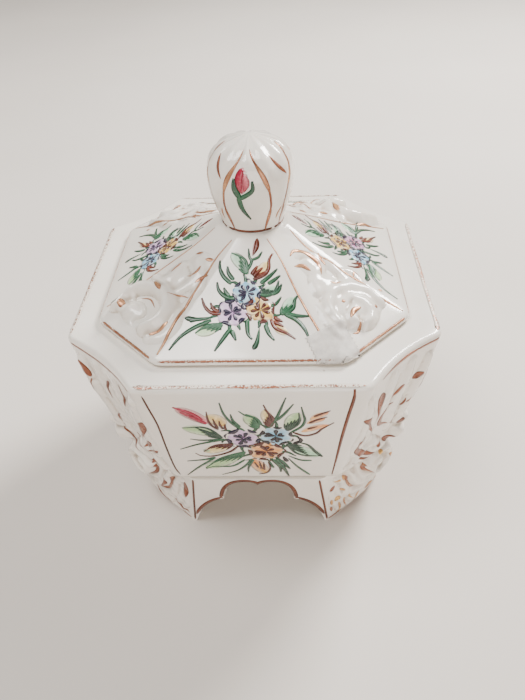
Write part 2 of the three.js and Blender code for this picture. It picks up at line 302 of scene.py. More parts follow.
# Where the columns of points stand, counted in points of the plan outline, and the height of the cut
# edge at each: on the ground along a toe, and on the arch over the rest of a face.
toe_steps = np.linspace(0, CORNER_POINTS, 33)
shares = np.array([x / foot_size(z)["face"] for x, z in arch])
face_steps = CORNER_POINTS + (1 - shares) / 2 * FACE_POINTS
columns = np.concatenate([toe_steps, face_steps])
low_edge = np.concatenate([np.zeros(len(toe_steps)), arch[:, 1]])


def foot_rows(wall):
    """Rows of points from the cut edge to the top, on the outside or inset by the wall."""
    levels = np.linspace(0, FOOT_TOP, 60)
    outlines = np.stack([plan(**inset(foot_size(z), wall), soft=1.0) for z in levels])
    quarter = CORNER_POINTS + FACE_POINTS
    rows = []
    for k in range(FOOT_ROWS + 1):
        z = between(low_edge, FOOT_TOP, (k / FOOT_ROWS) ** 1.2)
        row = []
        for turn in range(4):
            place = (columns + turn * quarter) % (4 * quarter)
            i = np.floor(place).astype(int)
            part = (place - i)[:, None]
            level = np.clip(z / FOOT_TOP * (len(levels) - 1), 0, len(levels) - 1.001)
            down = level.astype(int)
            up_share = (level - down)[:, None]
            j = (i + 1) % (4 * quarter)
            i = i % (4 * quarter)
            at = between(between(outlines[down, i], outlines[down, j], part),
                         between(outlines[down + 1, i], outlines[down + 1, j], part), up_share)
            row.append(np.column_stack([at, z]))
        rows.append(np.concatenate(row))
    return rows


def ring_between(rows):
    """A skin through rings that ends where it began, so it has no open end."""
    points, faces = loft(rows + rows[:1], capped=False)
    count = len(rows[0])
    points = points[:-count]
    return points, [[v % len(points) for v in face] for face in faces]


outer, inner = foot_rows(0.0), foot_rows(FOOT_WALL)
foot_points, foot_faces = ring_between(outer + inner[::-3])
foot = piece("foot_ring_with_arches", foot_points, foot_faces, glazed, "box")
soft_edge = foot.modifiers.new("sponged edge", "BEVEL")
soft_edge.width, soft_edge.segments, soft_edge.limit_method = FOOT_EDGE * MM, 3, "ANGLE"
soft_edge.angle_limit = math.radians(50)
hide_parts("foot_ring")

# ================================================================ body scrolls
# Each cut corner carries raised rococo scrollwork, cast with the vessel: upright leaves under the rim,
# a low C-scroll across the middle, and a fat volute whose tail swells over the seam onto the foot.

RELIEF_STEP = 0.36                           # mesh spacing of all raised ornament
SUNK = -0.6                                  # level of the relief's ground, inside the wall it sits on
SEAM_NUDGES = (0, 0.02, -0.02, 0.25, -0.25, 0.5, -0.5)   # tried in turn when a ray slips into the seam
BODY_REACH = 46                              # the vessel's drawing boards stand this far from its middle


def curve(path, step=0.5):
    """A smooth line through the given points, in even steps."""
    p = np.asarray(path, float)
    if len(p) > 2:
        ends = np.vstack([2 * p[0] - p[1], p, 2 * p[-1] - p[-2]])
        t = np.linspace(0, 1, 12, endpoint=False)[:, None]
        parts = []
        for a, b, c, d in zip(ends, ends[1:], ends[2:], ends[3:]):
            parts.append(0.5 * (2 * b + (c - a) * t + (2 * a - 5 * b + 4 * c - d) * t ** 2
                                + (3 * b - a - 3 * c + d) * t ** 3))
        p = np.vstack(parts + [p[-1:]])
    gaps = np.linalg.norm(np.diff(p, axis=0), axis=1)
    run = np.concatenate([[0], np.cumsum(gaps)])
    places = np.linspace(0, run[-1], max(4, int(run[-1] / step) + 1))
    return np.column_stack([np.interp(places, run, p[:, k]) for k in range(p.shape[1])])


def distance_to(x, y, line):
    """Distance of every grid point to a line, and how far along the line the nearest place is."""
    nearest = np.full(x.shape, 1e9)
    share = np.zeros(x.shape)
    for k, (a, b) in enumerate(zip(line, line[1:])):
        d = b - a
        t = np.clip(((x - a[0]) * d[0] + (y - a[1]) * d[1]) / max(d @ d, 1e-9), 0, 1)
        gap = np.hypot(x - a[0] - t * d[0], y - a[1] - t * d[1])
        closer = gap < nearest
        nearest[closer] = gap[closer]
        share[closer] = ((k + t) / (len(line) - 1))[closer]
    return nearest, share


def soft_max(a, b, blur):
    """The higher of two surfaces, with a fillet where they meet."""
    h = np.clip(0.5 + 0.5 * (a - b) / blur, 0, 1)
    return between(b, a, h) + blur * h * (1 - h)


def softened(grid, spread):
    """A height grid blurred as thick glaze rounds off carved clay."""
    reach = int(3 * spread / RELIEF_STEP) + 1
    weights = bell(np.arange(-reach, reach + 1) * RELIEF_STEP / spread)
    for axis in (0, 1):
        wide = np.concatenate([np.repeat(grid.take([0], axis), reach, axis), grid,
                               np.repeat(grid.take([-1], axis), reach, axis)], axis)
        grid = sum(w * wide.take(range(k, k + grid.shape[axis]), axis) for k, w in enumerate(weights))
    return grid


def relief(x, y, ridges, domes, dents=()):
    """Height of raised ornament: ridges (path, radii, height) over domes, with dents pressed in."""
    height = np.full(x.shape, SUNK)
    for (cx, cy), (rx, ry), turn, top in domes:
        c, s = math.cos(math.radians(turn)), math.sin(math.radians(turn))
        u, v = (x - cx) * c + (y - cy) * s, (y - cy) * c - (x - cx) * s
        d = np.sqrt((u / rx) ** 2 + (v / ry) ** 2)
        rise = SUNK + (top - SUNK) * np.clip(1 - d ** 2, 0, 1) ** 0.8 - np.clip(d - 1, 0, 1)
        height = soft_max(height, rise, 0.5)
    for path, (r0, r1), top in ridges:
        gap, share = distance_to(x, y, curve(path, 0.8))
        radius = between(r0, r1, share) * (0.55 + 0.45 * np.sin(np.pi * np.clip(share, 0.06, 0.94)))
        d = gap / radius
        rise = SUNK + (top - SUNK) * np.clip(1 - (d / 1.25) ** 2, 0, 1) ** 0.9 - np.clip(d - 1.25, 0, 1)
        height = soft_max(height, rise, 0.7)
    height = softened(height, 0.55)
    for path, radius, depth in dents:
        gap, share = distance_to(x, y, curve(path, 0.8))
        width = radius * (0.35 + 0.65 * np.sin(np.pi * np.clip(share, 0.05, 0.95)))
        height = height - depth * np.clip(1 - (gap / width) ** 2, 0, 1) ** 1.5
    return softened(height, 0.35)


def spiral(cx, cy, radius, start, turns, hand=1):
    """Points of a volute from its outside in."""
    t = np.linspace(0, 1, int(10 * turns) + 2)
    a = math.radians(start) + hand * 2 * math.pi * turns * t
    r = radius * (1 - 0.82 * t)
    return list(zip(cx + r * np.cos(a), cy + r * np.sin(a)))


def mirrored(ridges, domes, dents):
    """The same ornament the other way round."""
    return ([([(-u, v) for u, v in path], radii, top) for path, radii, top in ridges],
            [((-cx, cy), radii, -turn, top) for (cx, cy), radii, turn, top in domes],
            [([(-u, v) for u, v in path], radius, depth) for path, radius, depth in dents])


def board(angle, reach, height, run=0.0, rise=1.0):
    """A drawing board that faces the angle, so far out and so high up, and leans back by run over rise.
    It is given as its origin, right, up and outward."""
    a = math.radians(angle)
    facing = np.array([math.cos(a), math.sin(a), 0])
    side = np.array([-math.sin(a), math.cos(a), 0])
    upright = np.array([0, 0, 1.0])
    slope = math.hypot(run, rise)
    return (facing * reach + upright * height, side, (upright * rise - facing * run) / slope,
            (facing * rise + upright * run) / slope)


def press(tree, easel, x, y, far=30.0):
    """Where rays from the board meet the porcelain, the outward normal there, and which rays missed."""
    origin, right, up, out = easel
    starts = origin + x[:, None] * right + y[:, None] * up + out * far
    spots, normals = np.empty((len(x), 3)), np.empty((len(x), 3))
    toward = Vector(-out)
    last, last_normal = Vector(origin), Vector(out)
    missed = np.zeros(len(x), bool)
    for k, start in enumerate(starts):
        for nudge in SEAM_NUDGES:
            spot, normal, _, deep = tree.ray_cast(Vector(start + nudge * up), toward, 2 * far)
            if spot is not None:
                spot = Vector(start) + deep * toward
                break
        if spot is None:
            spot, normal, missed[k] = last, last_normal, True
        elif normal.dot(toward) > 0:
            normal = -normal
        last, last_normal = spot, normal
        spots[k], normals[k] = spot, normal
    return spots, normals, missed


def grid_quads(rows, columns):
    """Four-sided faces over a grid of points that are laid row by row."""
    r, c = np.meshgrid(np.arange(rows - 1), np.arange(columns - 1), indexing="ij")
    low = r * columns + c
    return np.stack([low, low + 1, low + columns + 1, low + columns], -1).reshape(-1, 4)


def slab(quads, count):
    """Faces of a closed sheet: front, back (its points follow count later) and a wall at open edges."""
    edges = dict.fromkeys((a, b) for quad in quads.tolist() for a, b in zip(quad, quad[1:] + quad[:1]))
    walls = [[b, a, a + count, b + count] for a, b in edges if (b, a) not in edges]
    return quads.tolist() + (quads[:, ::-1] + count).tolist() + walls


def relief_piece(name, easel, tree, x_range, y_range, shapes, material, body):
    """A raised ornament on the porcelain: its top follows the relief, its edges dip into the wall."""
    xs = np.arange(x_range[0], x_range[1] + 1e-6, RELIEF_STEP)
    ys = np.arange(y_range[0], y_range[1] + 1e-6, RELIEF_STEP)
    x, y = np.meshgrid(xs, ys)
    height = relief(x, y, *shapes)
    edge = np.minimum(np.minimum(x - x_range[0], x_range[1] - x),
                      np.minimum(y - y_range[0], y_range[1] - y))
    height = np.minimum(height, -0.5 + edge * 1.2)
    wander = 0.08 * np.sin(x * 1.3 + 0.7 * y) * np.sin(y * 0.9 - 0.4 * x)
    height = height + np.where(height > 0.2, wander, 0)
    spots, _, missed = press(tree, easel, x.ravel(), y.ravel())
    out = easel[3]
    h = np.where(missed, SUNK, height.ravel())
    level = spots + h[:, None] * out
    back = spots - 1.0 * out
    quads = grid_quads(len(ys), len(xs))
    quads = quads[(h[quads] > -0.25).any(1) & ~missed[quads].any(1)]
    used = np.unique(quads)
    number = np.full(len(h), -1)
    number[used] = np.arange(len(used))
    points = np.vstack([level[used], back[used]])
    faces = slab(number[quads], len(used))
    grid = h.reshape(x.shape)
    # Dust and painted shade: the concave places of the relief get a hollow value, which greys the porcelain
    # there.
    curvature = np.zeros_like(grid)
    curvature[1:-1, 1:-1] = (grid[2:, 1:-1] + grid[:-2, 1:-1] + grid[1:-1, 2:] + grid[1:-1, :-2]
                             - 4 * grid[1:-1, 1:-1]) / RELIEF_STEP ** 2
    hollow = np.clip(curvature * 0.5, 0, 0.8).ravel()[used]
    return piece(name, points, faces, material, body,
                 values={"hollow": np.concatenate([hollow, np.zeros(len(used))])})


def tree_of(*parts):
    """One search tree over several pieces' points and faces."""
    points, faces = [], []
    for p, f in parts:
        start = len(points)
        points += [tuple(v) for v in p]
        faces += [[v + start for v in face] for face in f]
    return BVHTree.FromPolygons(points, faces)


CORNERS = {"back_right": 45, "back_left": 135, "front_left": 225, "front_right": 315}
HANDED = {"back_right": -1, "back_left": 1, "front_left": -1, "front_right": 1}


def handed(corner, *shapes):
    """The ornament as it is drawn for the front right corner, or mirrored on the corners beside it."""
    return shapes if HANDED[corner] > 0 else mirrored(*shapes)


# Ridges are (path, radius at each end, height), domes (middle, radii, turn, height) and dents (path,
# radius, depth), seen on a board that faces the corner, with x to the right and y up from the ground.
body_ridges = [
    ([(-13, 66), (-11.5, 60), (-10.5, 52), (-11.5, 45), (-9.5, 38), (-5, 32)], (2.4, 3.0), 1.1),
    ([(-2.4, 67), (-2.2, 61), (-4.0, 55), (-6.5, 48), (-5.5, 41), (-2, 36)], (2.4, 2.6), 0.8),
    ([(5.5, 67), (5.4, 61), (4.5, 54), (4.0, 47), (4.8, 41), (5.5, 36)], (2.6, 2.8), 1.0),
    ([(12.2, 65), (12, 59), (11.2, 52), (10, 45), (9.8, 39), (11.5, 34)], (2.6, 3.2), 1.4),
    ([(-12, 32), (-9, 36.5), (-4, 36.5), (0, 33), (4, 29)], (2.0, 2.6), 1.9),
    (spiral(5.6, 18.8, 7.0, 150, 1.3, -1), (2.5, 1.6), 5.4),
    ([(-8.5, 25), (-5.5, 19.5), (-2.5, 13.5), (3, 9.4), (9, 8.4)], (1.7, 2.2), 2.8),
]
body_domes = [((5.5, 18.4), (11, 10), -20, 4.2), ((12.3, 29.5), (4.6, 5.0), 0, 3.4),
              ((13.2, 36), (2.8, 2.8), 0, 2.4), ((2, 27), (11, 5), 0, 2.2), ((0, 55), (10, 17), 0, 0.6),
              ((-10, 41), (4, 6), 15, 1.2)]
body_dents = [
    ([(-5.6, 61), (-5.2, 57), (-3, 50.5)], 1.4, 0.35), ([(8, 59), (11, 57)], 1.4, 0.5),
    ([(-12, 46.5), (-11, 41), (-7, 35)], 1.4, 0.5), ([(-10, 54), (-6.5, 47)], 1.2, 0.4),
    ([(1.4, 64), (1.2, 57), (0.2, 49)], 1.2, 0.5), ([(8.6, 50), (7.4, 44)], 1.2, 0.5),
    ([(0, 31), (5, 30), (10, 27)], 1.4, 0.9), ([(9.8, 33.6), (13.5, 32.8)], 1.2, 1.2),
    ([(-2, 23), (-0.5, 18), (3, 14)], 1.4, 1.2), ([(6, 22), (9.4, 18.8), (7, 15.6), (3.6, 17)], 1.2, 1.4),
]

wall_tree = tree_of((vessel_points, vessel_faces), (foot_points, foot_faces))
box_ornaments = []
for corner, angle in CORNERS.items():
    made = relief_piece(f"body_scrollwork_{corner}", board(angle, BODY_REACH, 0), wall_tree, (-17, 17),
                        (6, 70.2), handed(corner, body_ridges, body_domes, body_dents), glazed, "box")
    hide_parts(f"body_scroll_{corner}")
    box_ornaments.append(made)

# ================================================================ foot scrolls
# Lower and flatter scrollwork covers the corner of each toe: leaves that fan down one side and a roll
# along the ground edge. It is cast with the foot ring.

FOOT_REACH = 40
foot_ridges = [
    ([(-12, 22), (-9, 19), (-7, 13), (-4, 8), (2, 6)], (1.6, 2.0), 1.3),
    ([(-13.2, 16), (-12, 9), (-9, 4)], (1.4, 1.6), 1.0),
    ([(-10.5, 12), (-8, 8), (-4, 4)], (1.4, 1.4), 1.1),
    ([(-3, 4.5), (3, 2.8), (9, 3)], (1.6, 1.8), 1.3), ([(11, 17), (11.5, 10), (9, 5)], (1.6, 1.8), 1.6),
]
foot_domes = [((0, 3.5), (13.5, 4), 0, 1.2), ((-8, 12), (5.5, 9), 20, 0.8)]
foot_dents = [([(-10, 18), (-8.5, 12)], 1.2, 0.5), ([(-6.5, 7), (-4, 3)], 1.1, 0.5),
              ([(-12.5, 8), (-10, 3)], 1.0, 0.4)]
for corner, angle in CORNERS.items():
    made = relief_piece(f"foot_scrollwork_{corner}", board(angle, FOOT_REACH, 0), wall_tree, (-15.5, 15.5),
                        (0.4, 25), handed(corner, foot_ridges, foot_domes, foot_dents), glazed, "box")
    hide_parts(f"foot_scroll_{corner}")
    box_ornaments.append(made)

# ================================================================ gilding
# Bright gold and brown lustre, brushed on over the glaze and fired again: panel lines, edge lines and
# dabs on the scrolls. It is a skin a few hundredths of a millimetre thick, worn on the exposed edges.

# Gold lustre: a thin metal film, orange where thin and brown where thick, with painted highlights where a
# light gold colour stands in for glints. Its mirror is broken by brush streaks about 0.5 mm apart, and
# rubbing bares the cream glaze in specks.
gilt, tree = new_material("liquid gold lustre, brushed and fired")
where = add(tree, "ShaderNodeTexCoord").outputs["Object"]
tone = add(tree, "ShaderNodeAttribute", {"attribute_name": "tone"})
streak = add(tree, "ShaderNodeTexNoise", {"Scale": 2200.0, "Detail": 3.0}, {"Vector": where})
patch = add(tree, "ShaderNodeTexNoise", {"Scale": 260.0, "Detail": 2.0}, {"Vector": where})
mix = add(tree, "ShaderNodeMath", {"operation": "MULTIPLY_ADD", 1: 0.5, 2: -0.25},
          {0: patch.outputs["Fac"]})
# Painted highlight: depth is the mark's tone plus patchy noise; at 0 the ramp below gives light gold, which
# on marks with a tone near 0 stands in for glints.
depth = add(tree, "ShaderNodeMath", {"operation": "ADD", "use_clamp": True},
            {0: tone.outputs["Fac"], 1: mix.outputs[0]})
metal = add(tree, "ShaderNodeValToRGB",
            {"stops": [(0.0, linear("#E8B864")), (0.2, linear("#CC9870")), (0.45, linear("#96593F")),
                       (0.75, linear("#6C3B2A")), (1.0, linear("#3E231B"))]}, {"Fac": depth.outputs[0]})
wear = add(tree, "ShaderNodeAttribute", {"attribute_name": "wear"})
kept = add(tree, "ShaderNodeMath", {"operation": "GREATER_THAN"},
           {0: streak.outputs["Fac"], 1: wear.outputs["Fac"]})
colour = add(tree, "ShaderNodeMix", {"data_type": "RGBA", 6: linear("#EDE4D6")},
             {0: kept.outputs[0], 7: metal.outputs["Color"]})
metalness = add(tree, "ShaderNodeMath", {"operation": "MULTIPLY", 1: 0.45}, {0: kept.outputs[0]})
rough = add(tree, "ShaderNodeMapRange", {"To Min": 0.18, "To Max": 0.42}, {"Value": streak.outputs["Fac"]})
grain = add(tree, "ShaderNodeBump", {"Strength": 0.3, "Distance": 0.00005},
            {"Height": streak.outputs["Fac"]})
shade = add(tree, "ShaderNodeBsdfPrincipled", links={
    "Base Color": colour.outputs[2], "Metallic": metalness.outputs[0], "Roughness": rough.outputs[0],
    "Normal": grain.outputs[0]})
add(tree, "ShaderNodeOutputMaterial", links={"Surface": shade.outputs[0]})

# How a brush mark's width goes along it, from 0 at the start to 1 at the end.
SHAPES = {
    "line": lambda t: np.clip(np.minimum(t, 1 - t) / 0.04, 0.05, 1) ** 0.5,
    "blade": lambda t: (0.3 + 0.7 * np.sin(np.pi * np.clip(t * 0.62 + 0.04, 0, 1))
                        * np.clip((1 - t) / 0.08, 0.3, 1) ** 0.5),
    "leaf": lambda t: 0.06 + 0.94 * np.sin(np.pi * t ** 0.8) ** 0.8,
    "petal": lambda t: np.clip(1 - (2 * t - 1) ** 2, 0.01, 1) ** 0.5,
    "dab": lambda t: np.clip(t / 0.12, 0.1, 1) ** 0.5 * np.clip(1 - t, 0.02, 1) ** 0.7,
    "spindle": lambda t: 0.08 + 0.92 * np.sin(np.pi * t) ** 0.7,
}


class Film:
    """Brush marks gathered into one thin closed skin."""

    def __init__(self):
        self.points, self.faces, self.rows = [], [], []
        self.count = 0

    def mark(self, place, path, width, shape="blade", lift=0.035, rise=0.04, across=3, step=0.5, info=()):
        """Lays one mark. place(x, y) presses board points on the porcelain. The mark's edges stand off
        by the lift and its middle by the rise more; info is kept for the colouring of its points."""
        line = curve(path, step)
        tangent = np.gradient(line, axis=0)
        tangent /= np.maximum(np.linalg.norm(tangent, axis=1), 1e-9)[:, None]
        normal = np.column_stack([-tangent[:, 1], tangent[:, 0]])
        share = np.linspace(0, 1, len(line))
        half = width / 2 * SHAPES[shape](share)
        offsets = np.linspace(-1, 1, across)
        flat = line[:, None, :] + normal[:, None, :] * (offsets[None, :] * half[:, None])[:, :, None]
        spots, normals, missed = place(flat[..., 0].ravel(), flat[..., 1].ravel())
        if missed.any():
            return
        spots = spots.reshape(len(line), across, 3)
        normals = normals.reshape(len(line), across, 3)
        crown = lift + rise * (1 - offsets ** 2)
        top = spots + normals * crown[None, :, None]
        below = (spots - normals * 0.05)[:, -2:0:-1]
        loop = np.concatenate([top, below], axis=1)
        n, m = loop.shape[:2]
        start = self.count
        self.points.append(loop.reshape(-1, 3))
        i = np.arange(m)
        j = (i + 1) % m
        for r in range(n - 1):
            a, b = start + r * m, start + (r + 1) * m
            self.faces += np.column_stack([a + i, b + i, b + j, a + j]).tolist()
        self.faces.append([start + k for k in range(m)])
        self.faces.append([start + (n - 1) * m + k for k in range(m)][::-1])
        self.count += n * m
        side = np.concatenate([offsets, offsets[-2:0:-1]])
        self.rows.append((np.repeat(share, m), np.tile(side, n), info))


def easel_place(tree, easel):
    return lambda x, y: press(tree, easel, x, y)


def gold(film, place, path, width, shape="spindle", tone=0.4, wear=0.0, **more):
    film.mark(place, path, width, shape, info=(tone, wear), **more)


def gold_piece(name, film, body):
    tones = np.concatenate([np.full(len(s), info[0]) + 0.15 * np.abs(side) for s, side, info in film.rows])
    wears = np.concatenate([np.full(len(s), info[1]) + 0.25 * np.abs(side) ** 4 * (info[1] > 0)
                            for s, side, info in film.rows])
    return piece(name, np.concatenate(film.points), film.faces, gilt, body,
                 values={"tone": tones, "wear": wears})


def mesh_part(thing):
    """Points in millimetres and faces of a finished piece, for the search trees."""
    mesh = thing.data
    points = np.empty(len(mesh.vertices) * 3)
    mesh.vertices.foreach_get("co", points)
    return points.reshape(-1, 3) / MM, [list(p.vertices) for p in mesh.polygons]


box_tree = tree_of((vessel_points, vessel_faces), (foot_points, foot_faces),
                   *[mesh_part(thing) for thing in box_ornaments])

RIM_REACH, RIM_LEVEL = 50, 71.2              # a board that leans back at 45 degrees over the rim
ARCH_REACH = 42
BAND_INSET = 0.75                            # middle of the gold band, in from the cut edge of the arch
body_gilding, foot_gilding = Film(), Film()
FACES = {"front": -90, "right": 0, "back": 90, "left": 180}
for face, angle in FACES.items():
    place = easel_place(box_tree, board(angle, BODY_REACH, 0))
    left = [(-27.3, 70), (-26.5, 65), (-25.3, 57), (-24.8, 45), (-24.2, 34), (-23.2, 29)]
    right = [(26, 71.5), (26, 68), (25, 60), (24, 50), (23.3, 40), (22.5, 29)]
    gold(body_gilding, place, left, 0.55, "line", 0.8)
    gold(body_gilding, place, right[::-1], 0.95, "blade", 0.65)
    rim_place = easel_place(box_tree, board(angle, RIM_REACH, RIM_LEVEL, run=1.0, rise=1.0))
    worn = curve([(-29, 0), (0, 0.1), (29, 0)], 1.0)
    gold(body_gilding, rim_place, worn, 1.0, "line", 0.45, 0.52, across=5)
    gold(body_gilding, rim_place, [(-6, -0.1), (12, 0)], 1.1, "spindle", 0.4, 0.40, across=5)
    gold(body_gilding, rim_place, [(-29.5, 0.2), (-25, -0.3)], 1.4, "spindle", 0.5, 0.42, across=5)
    foot_place = easel_place(box_tree, board(angle, ARCH_REACH, 0))
    gold(foot_gilding, foot_place, [(-19.8, 26.3), (-21, 13), (-22, 0.8)], 0.7, "line", 0.75)
    gold(foot_gilding, foot_place, [(18.8, 26.3), (20.6, 13), (22.2, 0.8)], 0.7, "line", 0.6)
    edge = arch[4:-4]
    slope = np.gradient(edge, axis=0)
    shift = np.column_stack([slope[:, 1], -slope[:, 0]])
    shift /= np.linalg.norm(shift, axis=1)[:, None]
    shift *= np.where(shift[:, 1:] < 0, -1, 1)
    band = edge + shift * BAND_INSET
    gold(foot_gilding, foot_place, band[::2], 1.35, "line", 0.62)

# Marks of gold on a corner are (path, width, tone, shape), on the same boards as the relief.
right_gold = [
    ([(-8.6, 69.5), (-3, 70.0), (3, 70.3), (9, 70.2)], 1.3, 0.4, "spindle"),
    ([(7, 70.2), (14.5, 70.2)], 0.8, 0.4, "line"),
    ([(8.8, 56.8), (11.2, 59.2)], 2.6, 0.5, "petal"),
    ([(4.0, 58.4), (2.4, 56.5), (-0.2, 53.4)], 1.9, 0.5, "dab"),
    ([(7.6, 45.6), (8.4, 46.8), (8.7, 48.8)], 1.0, 0.6, "dab"),
    ([(9.0, 46.8), (10.2, 48.6)], 0.8, 0.6, "dab"),
    ([(14, 61), (13.1, 56), (12.6, 51)], 0.8, 0.55, "spindle"),
    ([(-6.1, 61.8), (-5.5, 57), (-5.0, 49.4)], 3.2, 0.5, "dab"),
    ([(1.8, 52), (-1.0, 50.2), (-1.8, 46.4), (0.0, 42.4), (3.8, 40.0)], 1.9, 0.5, "spindle"),
    ([(4.6, 39.6), (6.2, 40.0), (7.6, 42.0)], 1.1, 0.55, "dab"),
    ([(-13.2, 56.8), (-10.6, 54.6), (-7.6, 48.4), (-4.6, 43.2)], 2.7, 0.5, "dab"),
    ([(9.2, 36.0), (12.0, 36.4)], 2.8, 0.7, "petal"),
    ([(-8.4, 44.8), (-11.4, 44.6), (-12.0, 41.6), (-8.9, 37.4), (-2.8, 30.2), (1.2, 27.6)],
     2.4, 0.5, "spindle"),
    ([(1.8, 29.8), (4.0, 30.2)], 2.4, 0.5, "petal"),
    ([(5.4, 29.6), (7.8, 28.8), (10.4, 27.8)], 2.4, 0.5, "petal"),
    ([(-11.7, 34.4), (-8.2, 32.0), (-4.6, 29.0), (1.6, 25.5)], 0.9, 0.6, "spindle"),
    ([(-1.6, 23.2), (-0.6, 19.0), (2.6, 16.0)], 1.3, 0.35, "spindle"),
    ([(-7.9, 20.8), (-6.2, 15.2), (-3.0, 10.6), (0.6, 8.6), (5, 7.4), (10, 5.6)], 1.1, 0.3, "line"),
    # Painted highlights: the marks below with tones of 0 and 0.1 are glints on the volute painted as light
    # gold.
    ([(3.2, 25.6), (5.2, 24.8)], 2.0, 0.0, "petal"), ([(8.6, 11.2), (11.4, 10.4)], 1.2, 0.4, "dab"),
    ([(10.2, 20.2), (11.4, 16.6)], 1.0, 0.1, "petal"),
]
left_gold = [
    ([(-14, 70.2), (-8, 69.3), (0, 68.9), (8, 69.4), (13.5, 70.2)], 0.9, 0.55, "line"),
    ([(-12.2, 65.2), (-11.6, 62), (-10.6, 58.6)], 2.2, 0.5, "petal"),
    ([(-10.8, 58), (-12.6, 51), (-12.4, 43)], 0.9, 0.5, "spindle"),
    ([(4.6, 65.4), (5.2, 61), (3.8, 55.6)], 0.8, 0.65, "spindle"),
    ([(-2, 62), (-3.4, 58), (-3, 54)], 1.2, 0.6, "dab"),
    ([(13.4, 56.6), (10.4, 50), (5.4, 42.2)], 3.2, 0.5, "dab"),
    ([(12.8, 47.4), (9, 42.4), (4.6, 37.2)], 2.6, 0.5, "dab"),
    ([(13.4, 43), (10, 39.6), (6.6, 37.2)], 1.5, 0.55, "dab"),
    ([(0.8, 23.6), (5.2, 28.4), (9.8, 33.2)], 2.8, 0.5, "petal"),
    ([(-4, 46), (-7, 42), (-6.6, 37)], 1.3, 0.5, "spindle"), ([(-1, 38), (1.4, 33)], 1.2, 0.5, "dab"),
    ([(-10.2, 33.4), (-6, 30), (-3, 26)], 1.3, 0.55, "spindle"),
    ([(7.6, 20.6), (6.0, 15.2), (2.6, 9.6), (-2.4, 6.8)], 1.0, 0.35, "line"),
    ([(1.6, 23.0), (0.6, 18.2), (-3.0, 14.6)], 1.2, 0.45, "spindle"),
]
# Painted highlights: the dabs below with tones of 0 to 0.1 are real gold, and their light gold colour stands
# in for glints on them.
right_foot_gold = [
    ([(-13.8, 17.0), (-11.6, 18.2)], 1.8, 0.4, "petal"),
    ([(-9.0, 20.8), (-7.6, 18.8)], 1.5, 0.05, "petal"),
    ([(-11.6, 12.4), (-9.6, 9.8)], 2.4, 0.0, "petal"),
    ([(-9.6, 8.0), (-8.6, 4.4), (-9.2, 1.8)], 1.2, 0.05, "spindle"),
    ([(-7.4, 8.6), (-6.8, 5.6), (-5.6, 2.4)], 1.3, 0.1, "dab"),
    ([(-5.2, 8.8), (-4.2, 6.2), (-2.6, 4.2)], 1.1, 0.0, "dab"),
    ([(-9.6, 15.2), (-7.4, 12.8)], 1.1, 0.1, "spindle"),
    ([(-12.6, 7.4), (-11.6, 4.2)], 1.1, 0.3, "petal"),
    ([(-12.6, 21.4), (-10.0, 20.2)], 1.3, 0.0, "petal"),
    ([(-13.0, 1.0), (-6, 0.8), (4, 0.9), (12, 1.1)], 0.9, 0.35, "line"),
    ([(-2.4, 3.2), (0.4, 5.4)], 1.0, 0.1, "petal"), ([(3.2, 3.8), (8.2, 3.4)], 1.1, 0.15, "spindle"),
    ([(-13.2, 12.6), (-12.8, 9.4)], 1.0, 0.1, "petal"),
]
left_foot_gold = [
    ([(12.9, 21.4), (12.8, 17.6), (12.2, 13.6)], 2.3, 0.5, "petal"),
    ([(5.4, 6.4), (8.4, 5.2), (11.6, 3.4)], 1.5, 0.5, "spindle"),
    ([(2.2, 12.4), (4.4, 15.6), (5.0, 19.0)], 1.3, 0.5, "spindle"),
    ([(-9.6, 15), (-8.4, 10.4)], 1.6, 0.5, "dab"),
    ([(-4.6, 5.0), (-1.0, 3.0), (3.4, 2.8)], 1.1, 0.45, "spindle"),
    ([(-13.0, 1.0), (-6, 0.8), (4, 0.9), (12, 1.1)], 0.8, 0.45, "line"),
]
for corner, angle in CORNERS.items():
    place = easel_place(box_tree, board(angle, BODY_REACH, 0))
    on_body, on_foot = (right_gold, right_foot_gold) if HANDED[corner] > 0 else (left_gold, left_foot_gold)
    for film, marks in ((body_gilding, on_body), (foot_gilding, on_foot)):
        # The tone sets how brown the gold is; a tone near 0 gives light gold, which on a few marks is a
        # painted highlight.
        for path, width, tone_and_glint, shape in marks:
            gold(film, place, path, width, shape, tone_and_glint, across=5, step=0.35)
gold_piece("body_gilding", body_gilding, "box")
gold_piece("foot_gilding", foot_gilding, "box")

# ================================================================ painted bouquets on the vessel
# Sprays of flowers painted freehand in overglaze enamels: thin pale washes first, then leaves and
# petals outlined and veined with a fine brush. All four faces carry the same spray, turned about, a
# little larger or smaller, and with its three flowers in other colours.

# Overglaze enamel: coloured glass fused on the glaze, glossy, with brush streaks about 1 mm apart that
# let it look thinner and lighter.
enamel, tree = new_material("overglaze enamel, hand painted and fired")
pigment = add(tree, "ShaderNodeAttribute", {"attribute_name": "pigment"})
where = add(tree, "ShaderNodeTexCoord").outputs["Object"]
brushed = add(tree, "ShaderNodeTexNoise", {"Scale": 800.0, "Detail": 3.0}, {"Vector": where})
lighter = add(tree, "ShaderNodeHueSaturation", {"Saturation": 0.9, "Value": 1.25},
              {"Color": pigment.outputs["Color"]})
thin = add(tree, "ShaderNodeValToRGB", {"stops": [(0.45, BLACK), (0.75, WHITE)]},
           {"Fac": brushed.outputs["Fac"]})
streaked = add(tree, "ShaderNodeMix", {"data_type": "RGBA"},
               {0: thin.outputs["Color"], 6: pigment.outputs["Color"], 7: lighter.outputs[0]})
shine = add(tree, "ShaderNodeMapRange", {"To Min": 0.16, "To Max": 0.34}, {"Value": brushed.outputs["Fac"]})
shade = add(tree, "ShaderNodeBsdfPrincipled", {"IOR": 1.5, "Coat Weight": 0.3, "Coat Roughness": 0.08},
            {"Base Color": streaked.outputs[2], "Roughness": shine.outputs[0]})
add(tree, "ShaderNodeOutputMaterial", links={"Surface": shade.outputs[0]})

